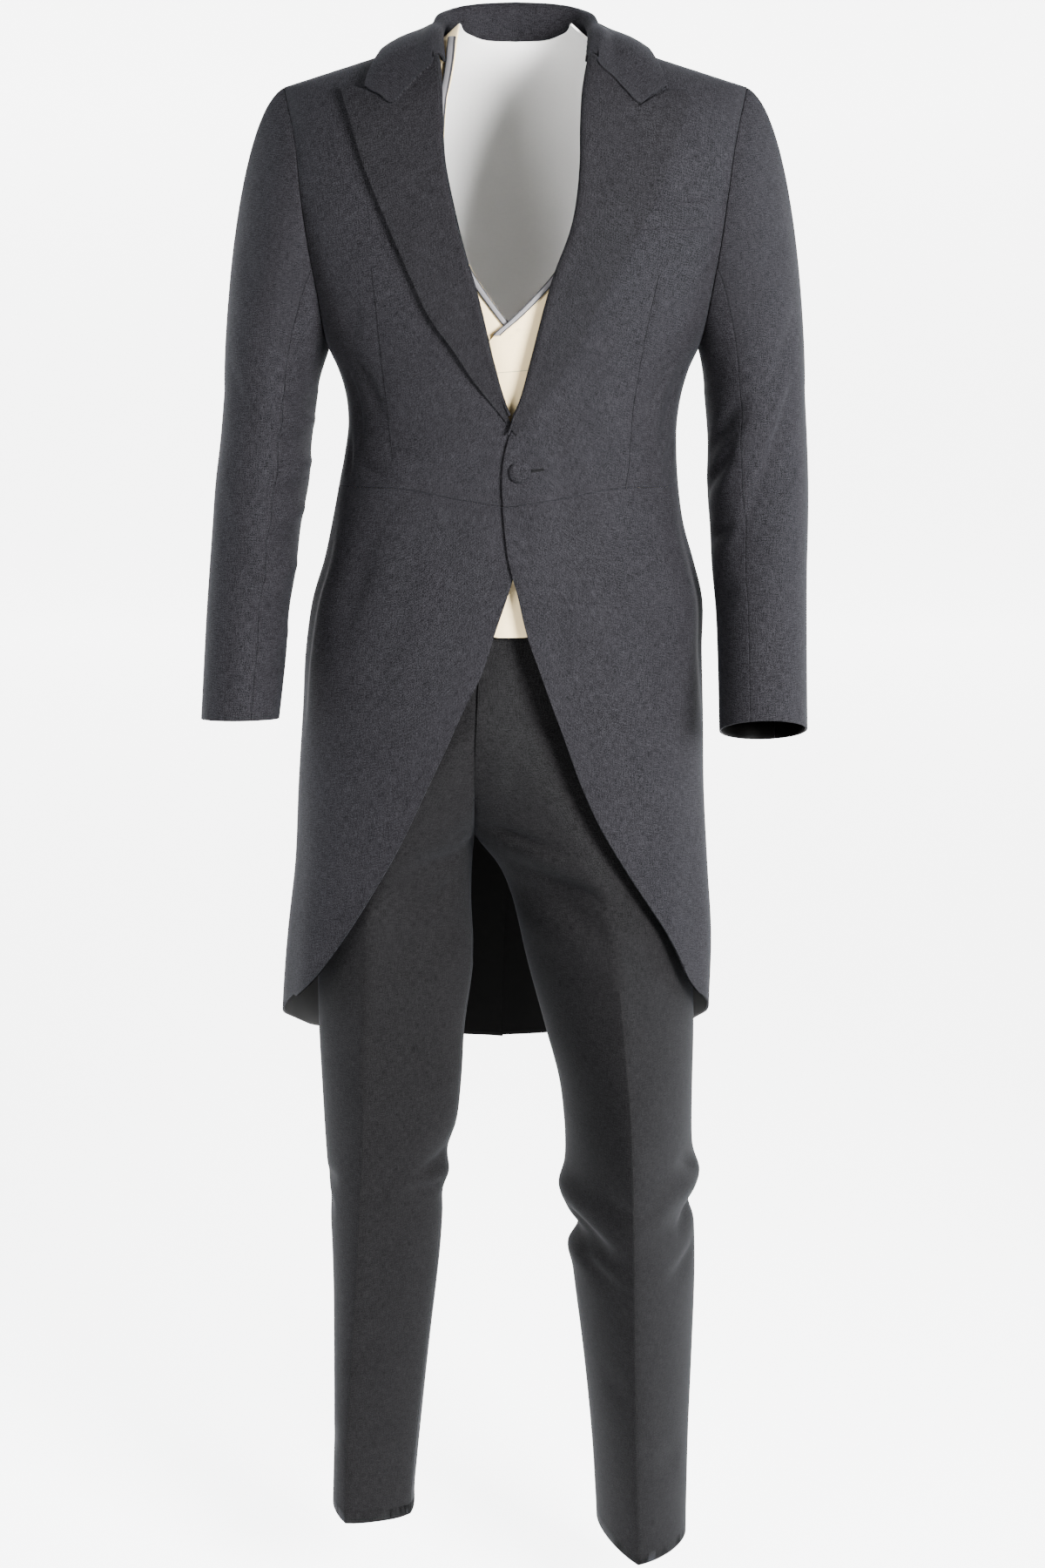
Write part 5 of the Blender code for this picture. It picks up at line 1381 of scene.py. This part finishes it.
def waistcoat_armhole(rows, behind):
    """From the side seam up to the shoulder."""
    pairs = on_body(np.stack([rows["x"], rows["drop"]], -1)[::-1])
    if behind:
        pairs[:, 0] = 180 - pairs[:, 0]
    pairs = np.concatenate([waistcoat_side_seam()[-1:], pairs[:-1], waistcoat_shoulder(1)[-1:]])
    if behind:
        pairs[-1, 0] = 180 - pairs[-1, 0]
    return evenly(pairs, WAISTCOAT_ARMHOLE_ROWS)


def waistcoat_front(side):
    top = waistcoat_shoulder(WAISTCOAT_COLUMNS, side)
    edge = np.concatenate([edge_pairs(WAISTCOAT_EDGE[side], side), top[:1]])
    edge = evenly(edge, WAISTCOAT_SIDE_ROWS + WAISTCOAT_ARMHOLE_ROWS)
    right = joined(waistcoat_side_seam(), waistcoat_armhole(WAISTCOAT_ARMHOLE, False))
    bottom = drop_line(WAISTCOAT_HEM, edge[0, 0], WAISTCOAT_SIDE_ANGLE, WAISTCOAT_COLUMNS)
    bottom[0], bottom[-1] = edge[0], right[0]
    grid = patch(bottom, top, edge, right)
    walls = wall(coat_face, grid * (side, 1), -waistcoat_inset(side, grid), WAISTCOAT_CLOTH)
    walls = parted(walls, "top", "right")
    piece = cloth(f"waistcoat_front_{SIDES[side]}", walls, "cream", "ivory", coat_grain(side, grid))


def waistcoat_seam():
    """The seam across the wearer's left forepart, under the opening, drawn as a line of painted
    shade.
    """
    pairs = front_pairs(evenly(np.array(WAISTCOAT_SEAM, float), 40), 1)
    facing = outward(coat_face, *pairs.T)
    points = coat_face(*pairs.T) - facing * waistcoat_inset(1, pairs)[:, None]
    cord_along("waistcoat_seam", points, facing, SEAM_LINE, "cream_shade")


def mirrored(pairs):
    """The pairs across the centre back from those given."""
    return pairs * (-1, 1) + (360, 0)


def waistcoat_back():
    shoulder = waistcoat_shoulder(WAISTCOAT_COLUMNS)
    shoulder[:, 0] = 180 - shoulder[:, 0]
    neck = on_body(WAISTCOAT_BACK_NECK, behind=True)
    neck = np.concatenate([turned([(180, WAISTCOAT_NAPE)]), neck])
    neck = evenly(np.concatenate([neck, shoulder[:1]])[::-1], WAISTCOAT_NECK_COLUMNS)
    half = joined(shoulder[::-1], neck)
    top = joined(half, mirrored(half)[::-1])
    left = joined(waistcoat_side_seam(), waistcoat_armhole(WAISTCOAT_BACK_ARMHOLE, True))
    right = mirrored(left)
    half = drop_line(WAISTCOAT_HEM, WAISTCOAT_SIDE_ANGLE, 180, len(top) // 2)
    bottom = joined(half, mirrored(half)[::-1])
    bottom[0], bottom[-1] = left[0], right[0]
    grid = patch(bottom, top, left, right)
    walls = wall(coat_face, grid, -waistcoat_inset(1, grid), WAISTCOAT_CLOTH)
    walls = parted(walls, "top", "left", "right")
    piece = cloth("waistcoat_back", walls, "ivory", "ivory")


def waistcoat_piping(side):
    """A rounded piping along the opening, light between two dark edges."""
    rows = WAISTCOAT_EDGE[side]
    drops = np.linspace(PIPING_FOOT[side], rows["drop"][0], PIPING_ROWS)
    points = np.stack([side * read(rows, "x", drops), drops], -1)
    share = np.linspace(0, 1, PIPING_COLUMNS)
    places = points[:, None] + share[None, :, None] * np.array((PIPING_WIDTH, 0))
    grid = front_pairs(places.reshape(-1, 2), side).reshape(places.shape)
    lift = PIPING_LIFT + PIPING_CROWN * np.sin(np.pi * share) - waistcoat_inset(side, grid)
    walls = wall(coat_face, grid * (side, 1), lift, PIPING_CLOTH)
    cloth(f"waistcoat_piping_{SIDES[side]}", walls, "satin", "satin_edge", edging="satin_edge")


def waistband_inset(angle):
    """The waistband lies under the waistcoat, and deeper where its fronts cross."""
    near_front = np.exp(-((angle / WAISTBAND_FRONT_SPREAD) ** 4))
    return WAISTBAND_INSET + WAISTBAND_FRONT_INSET * near_front


def waistband_wall(angle, drop, thickness):
    """A wall at the waistband's depth under the coat's face."""
    pairs = np.stack(np.broadcast_arrays(angle, run_at(angle, drop)), -1)
    return wall(coat_face, pairs, -waistband_inset(pairs[..., 0]), thickness)


def fork_share(drop):
    """0 where the legs meet in a flat seam, and 1 where each is round on its own."""
    return np.clip((drop - FORK_TOP) / (FORK_DROP - FORK_TOP), 0, 1)


def leg_face(side):
    """The outer face of one leg. Angle 0 is its front crease, 90 its side seam and 180 its
    back crease."""
    rows = LEG[side]

    def face(angle, drop):
        share = fork_share(drop)
        fork_seam, inner = read(FORK_SEAM, "x", drop), read(rows, "inner", drop)
        middle_seam = np.where(drop < FORK_DROP, fork_seam, inner)
        half = (read(rows, "side", drop) - middle_seam) / (1 + share)
        skew, crease = read(rows, "skew", drop), read(rows, "crease", drop)
        half = np.sign(half) * np.sqrt(half**2 - skew**2)
        centre = (read(rows, "side", drop) + middle_seam) / 2
        centre = np.where(share < 1, middle_seam + share * half, centre)
        sine, cosine = np.sin(np.radians(angle)), np.cos(np.radians(angle))
        sharp = 1 - np.abs(sine) ** CREASE_SHARPNESS
        forward = np.sign(cosine) * ((1 - crease) * np.abs(cosine) + crease * sharp)
        depth = np.where(cosine > 0, read(rows, "front", drop), read(rows, "back", drop))
        swell = 1 + leg_fold(side, angle, drop) / FOLD_RADIUS
        skew = skew * ease(FORK_DROP, FORK_DROP + SKEW_FADE, drop)
        x = centre + (half * sine + skew * forward) * np.where(share < 1, 1, swell)
        x = x + side * SEAM / 2
        y = -depth * forward * swell
        ring = np.stack([x, y, -drop + 0 * x], -1)
        away = unit(np.stack([half * sine, -depth * forward, 0 * x], -1))
        off_seam = ease(-share, -share + 0.3, sine) * (share < 1) + (share >= 1)
        out = creases(LEG_CREASES[side], LEG_MM_PER_DEGREE, angle, drop) * off_seam
        ring = ring + away * out[..., None]
        top = waistband_wall(side * angle, drop, 0)[0]
        share = ease(WAISTBAND_FOOT, HIP_DROP, drop)[..., None]
        return top * (1 - share) + ring * share

    return face


def leg_fold(side, angle, drop):
    """How far the folds of one leg stand out or fall in."""
    rows, out = LEG_FOLDS[side], 0
    for fold in range(len(rows["drop"])):
        up = (drop - rows["drop"][fold]) / rows["height"][fold]
        turn = (angle - rows["angle"][fold] + 180) % 360 - 180
        around = turn / rows["spread"][fold]
        out = out + rows["depth"][fold] * np.exp(-up * up - around * around)
    return out


def leg_rows(side):
    count = int(LEG_ROWS["row"][-1]) * LEG_ROW_SPLIT
    drops = np.interp(np.arange(count + 1) / LEG_ROW_SPLIT, LEG_ROWS["row"], LEG_ROWS["drop"])
    drops[-1] = LEG[side]["drop"][-1]
    drops[0] += SEAM
    return drops


def trouser_panel(side, behind):
    """The front or the back of one leg, from the waistband to the hem."""
    drops = leg_rows(side)
    inner = -np.degrees(np.arcsin(fork_share(drops)))
    start = 180 - inner if behind else inner
    share = np.linspace(0, 1, LEG_COLUMNS + 1)
    angles = start[:, None] * (1 - share) + 90 * share
    grid = np.stack([angles, np.broadcast_to(drops[:, None], angles.shape)], -1)
    grid[..., 1] += hem_slope(side, *np.moveaxis(grid, -1, 0))
    face = leg_face(side)
    outer = face(grid[..., 0], grid[..., 1])
    facing = outward(face, grid[..., 0], grid[..., 1]) * side
    if side > 0 and not behind:
        across = np.linalg.norm(outer - outer[:, :1], axis=-1)
        beside, above = FLY_SOFTNESS
        flap = ease(FLY_WIDTH, FLY_WIDTH - beside, across)
        flap = flap * ease(FLY_FOOT, FLY_FOOT - above, drops)[:, None]
        outer = outer + facing * (FLY_LIFT * flap)[..., None]
    inside = outer - facing * TROUSER_CLOTH
    forked = fork_share(drops) < 1
    centre = outer[forked, 0].copy()
    outer, inside = parted((outer, inside), "left", "right")
    outer[forked, 0] = centre
    back = facing[forked, 0, 1]
    mitre = TROUSER_CLOTH / np.maximum(np.abs(back), FORK_MITRE)
    inside[forked, 0] = centre - np.sign(back)[:, None] * mitre[:, None] * (0, 1, 0)
    laid = grain_from(outer, 180 - grid[..., 0] if behind else grid[..., 0])
    name = f"trouser_{'back' if behind else 'front'}_{SIDES[side]}"
    piece = cloth(name, (outer, inside), "trouser_wool", "facing", laid)


def hem_slope(side, angle, drop):
    """How much lower the hem hangs than the level, at an angle of the leg."""
    all_round, front, outer = HEM_SLOPE[side]
    turn = np.radians(angle)
    slope = all_round + front * np.cos(turn) + outer * np.sin(turn)
    return slope * ease(HEM_SLOPE_TOP, LEG[side]["drop"][-1], drop)


def fly_tack():
    """The bar of stitches at the foot of the fly."""
    face, behind_seam = leg_face(1), np.linspace(*TACK_RUN, 8)
    angles = behind_seam - np.degrees(np.arcsin(fork_share(TACK_DROP)))
    drops = np.full(len(angles), TACK_DROP)
    facing = outward(face, angles, drops)
    points = face(angles, drops) + facing * FLY_LIFT
    cord_along("fly_tack", points, facing, TACK, "facing")


def trouser_waistband():
    angles = np.linspace(-180, 180, WAISTBAND_COLUMNS + 1)[None]
    drops = np.linspace(WAISTBAND_TOP, WAISTBAND_FOOT, WAISTBAND_ROWS + 1)[:, None]
    walls = waistband_wall(angles, drops, TROUSER_CLOTH)
    piece = cloth("trouser_waistband", walls, "trouser_wool", "facing")


def backdrop():
    """A pale floor that curves up behind."""
    turn = np.radians(np.linspace(0, 90, BACKDROP_STEPS))
    bend = np.stack([np.sin(turn), 1 - np.cos(turn)], -1) * BACKDROP_BEND + (BACKDROP_BACK, 0)
    profile = np.concatenate([[(-BACKDROP_FRONT, 0)], bend, [bend[-1] + (0, BACKDROP_HEIGHT)]])
    points = [(x, y, z + FLOOR) for x in (-BACKDROP_HALF, BACKDROP_HALF) for y, z in profile]
    count = len(profile)
    faces = [(i, i + count, i + count + 1, i + 1) for i in range(count - 1)]
    mesh = bpy.data.meshes.new("backdrop")
    mesh.from_pydata(points, [], faces)
    mesh.shade_smooth()
    material = bpy.data.materials.new("backdrop")
    material.use_nodes = True
    tree = material.node_tree
    surface = tree.nodes["Principled BSDF"]
    feed(tree, surface, {"Base Color": (*WHITE, 1), "Emission Color": (1, 1, 1, 1)})
    feed(tree, surface, {"Roughness": 1.0, "Specular IOR Level": 0.0})
    place = tree.nodes.new("ShaderNodeNewGeometry").outputs["Position"]
    parts = feed(tree, tree.nodes.new("ShaderNodeSeparateXYZ"), {0: place})
    glow = tree.nodes.new("ShaderNodeMapRange")
    feed(tree, glow, dict(zip(("From Min", "From Max", "To Min", "To Max"), BACKDROP_GLOW)))
    strength = feed(tree, glow, {"Value": parts["Y"]})["Result"]
    feed(tree, surface, {"Emission Strength": strength})
    mesh.materials.append(material)
    floor = bpy.data.objects.new("backdrop", mesh)
    bpy.context.scene.collection.objects.link(floor)


def studio():
    """Soft light from the front and both sides, and a little from above."""
    for name, (place, size, energy, colour, spread) in LIGHTS.items():
        lamp = bpy.data.lights.new(name, "AREA")
        lamp.shape = "RECTANGLE"
        lamp.size, lamp.size_y = size
        lamp.energy, lamp.color, lamp.spread = energy, colour, np.radians(spread)
        light = bpy.data.objects.new(name, lamp)
        light.location = place
        towards = Vector(LIT_POINT) - Vector(place)
        light.rotation_euler = towards.to_track_quat("-Z", "Y").to_euler()
        bpy.context.scene.collection.objects.link(light)
    world = bpy.data.worlds.new("studio")
    world.use_nodes = True
    sky = world.node_tree.nodes["Background"]
    sky.inputs["Color"].default_value = (1, 1, 1, 1)
    sky.inputs["Strength"].default_value = WORLD_GLOW
    bpy.context.scene.world = world


def camera():
    lens = bpy.data.cameras.new("camera")
    lens.sensor_fit, lens.sensor_height = "VERTICAL", SENSOR
    lens.lens, lens.clip_end = LENS, SIGHT
    view = bpy.data.objects.new("camera", lens)
    view.location = CAMERA_PLACE
    view.rotation_euler = (np.radians(90 - CAMERA_DOWN), 0, 0)
    bpy.context.scene.collection.objects.link(view)
    bpy.context.scene.camera = view


def build():
    for side in SIDES:
        coat_front(side)
        coat_side(side)
        coat_back(side)
        coat_skirt(side)
        coat_sleeve(side)
        lapel(side)
        waistcoat_front(side)
        waistcoat_piping(side)
        trouser_panel(side, behind=False)
        trouser_panel(side, behind=True)
    collar()
    breast_welt()
    buttons()
    buttonhole()
    darts()
    waistcoat_back()
    waistcoat_seam()
    trouser_waistband()
    fly_tack()
    backdrop()
    studio()
    camera()


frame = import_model()
frame["slots"] = {part["node"]: part["material_slot"] for part in frame["record"]["subparts"]}
MATERIALS = make_materials()
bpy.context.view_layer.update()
build()
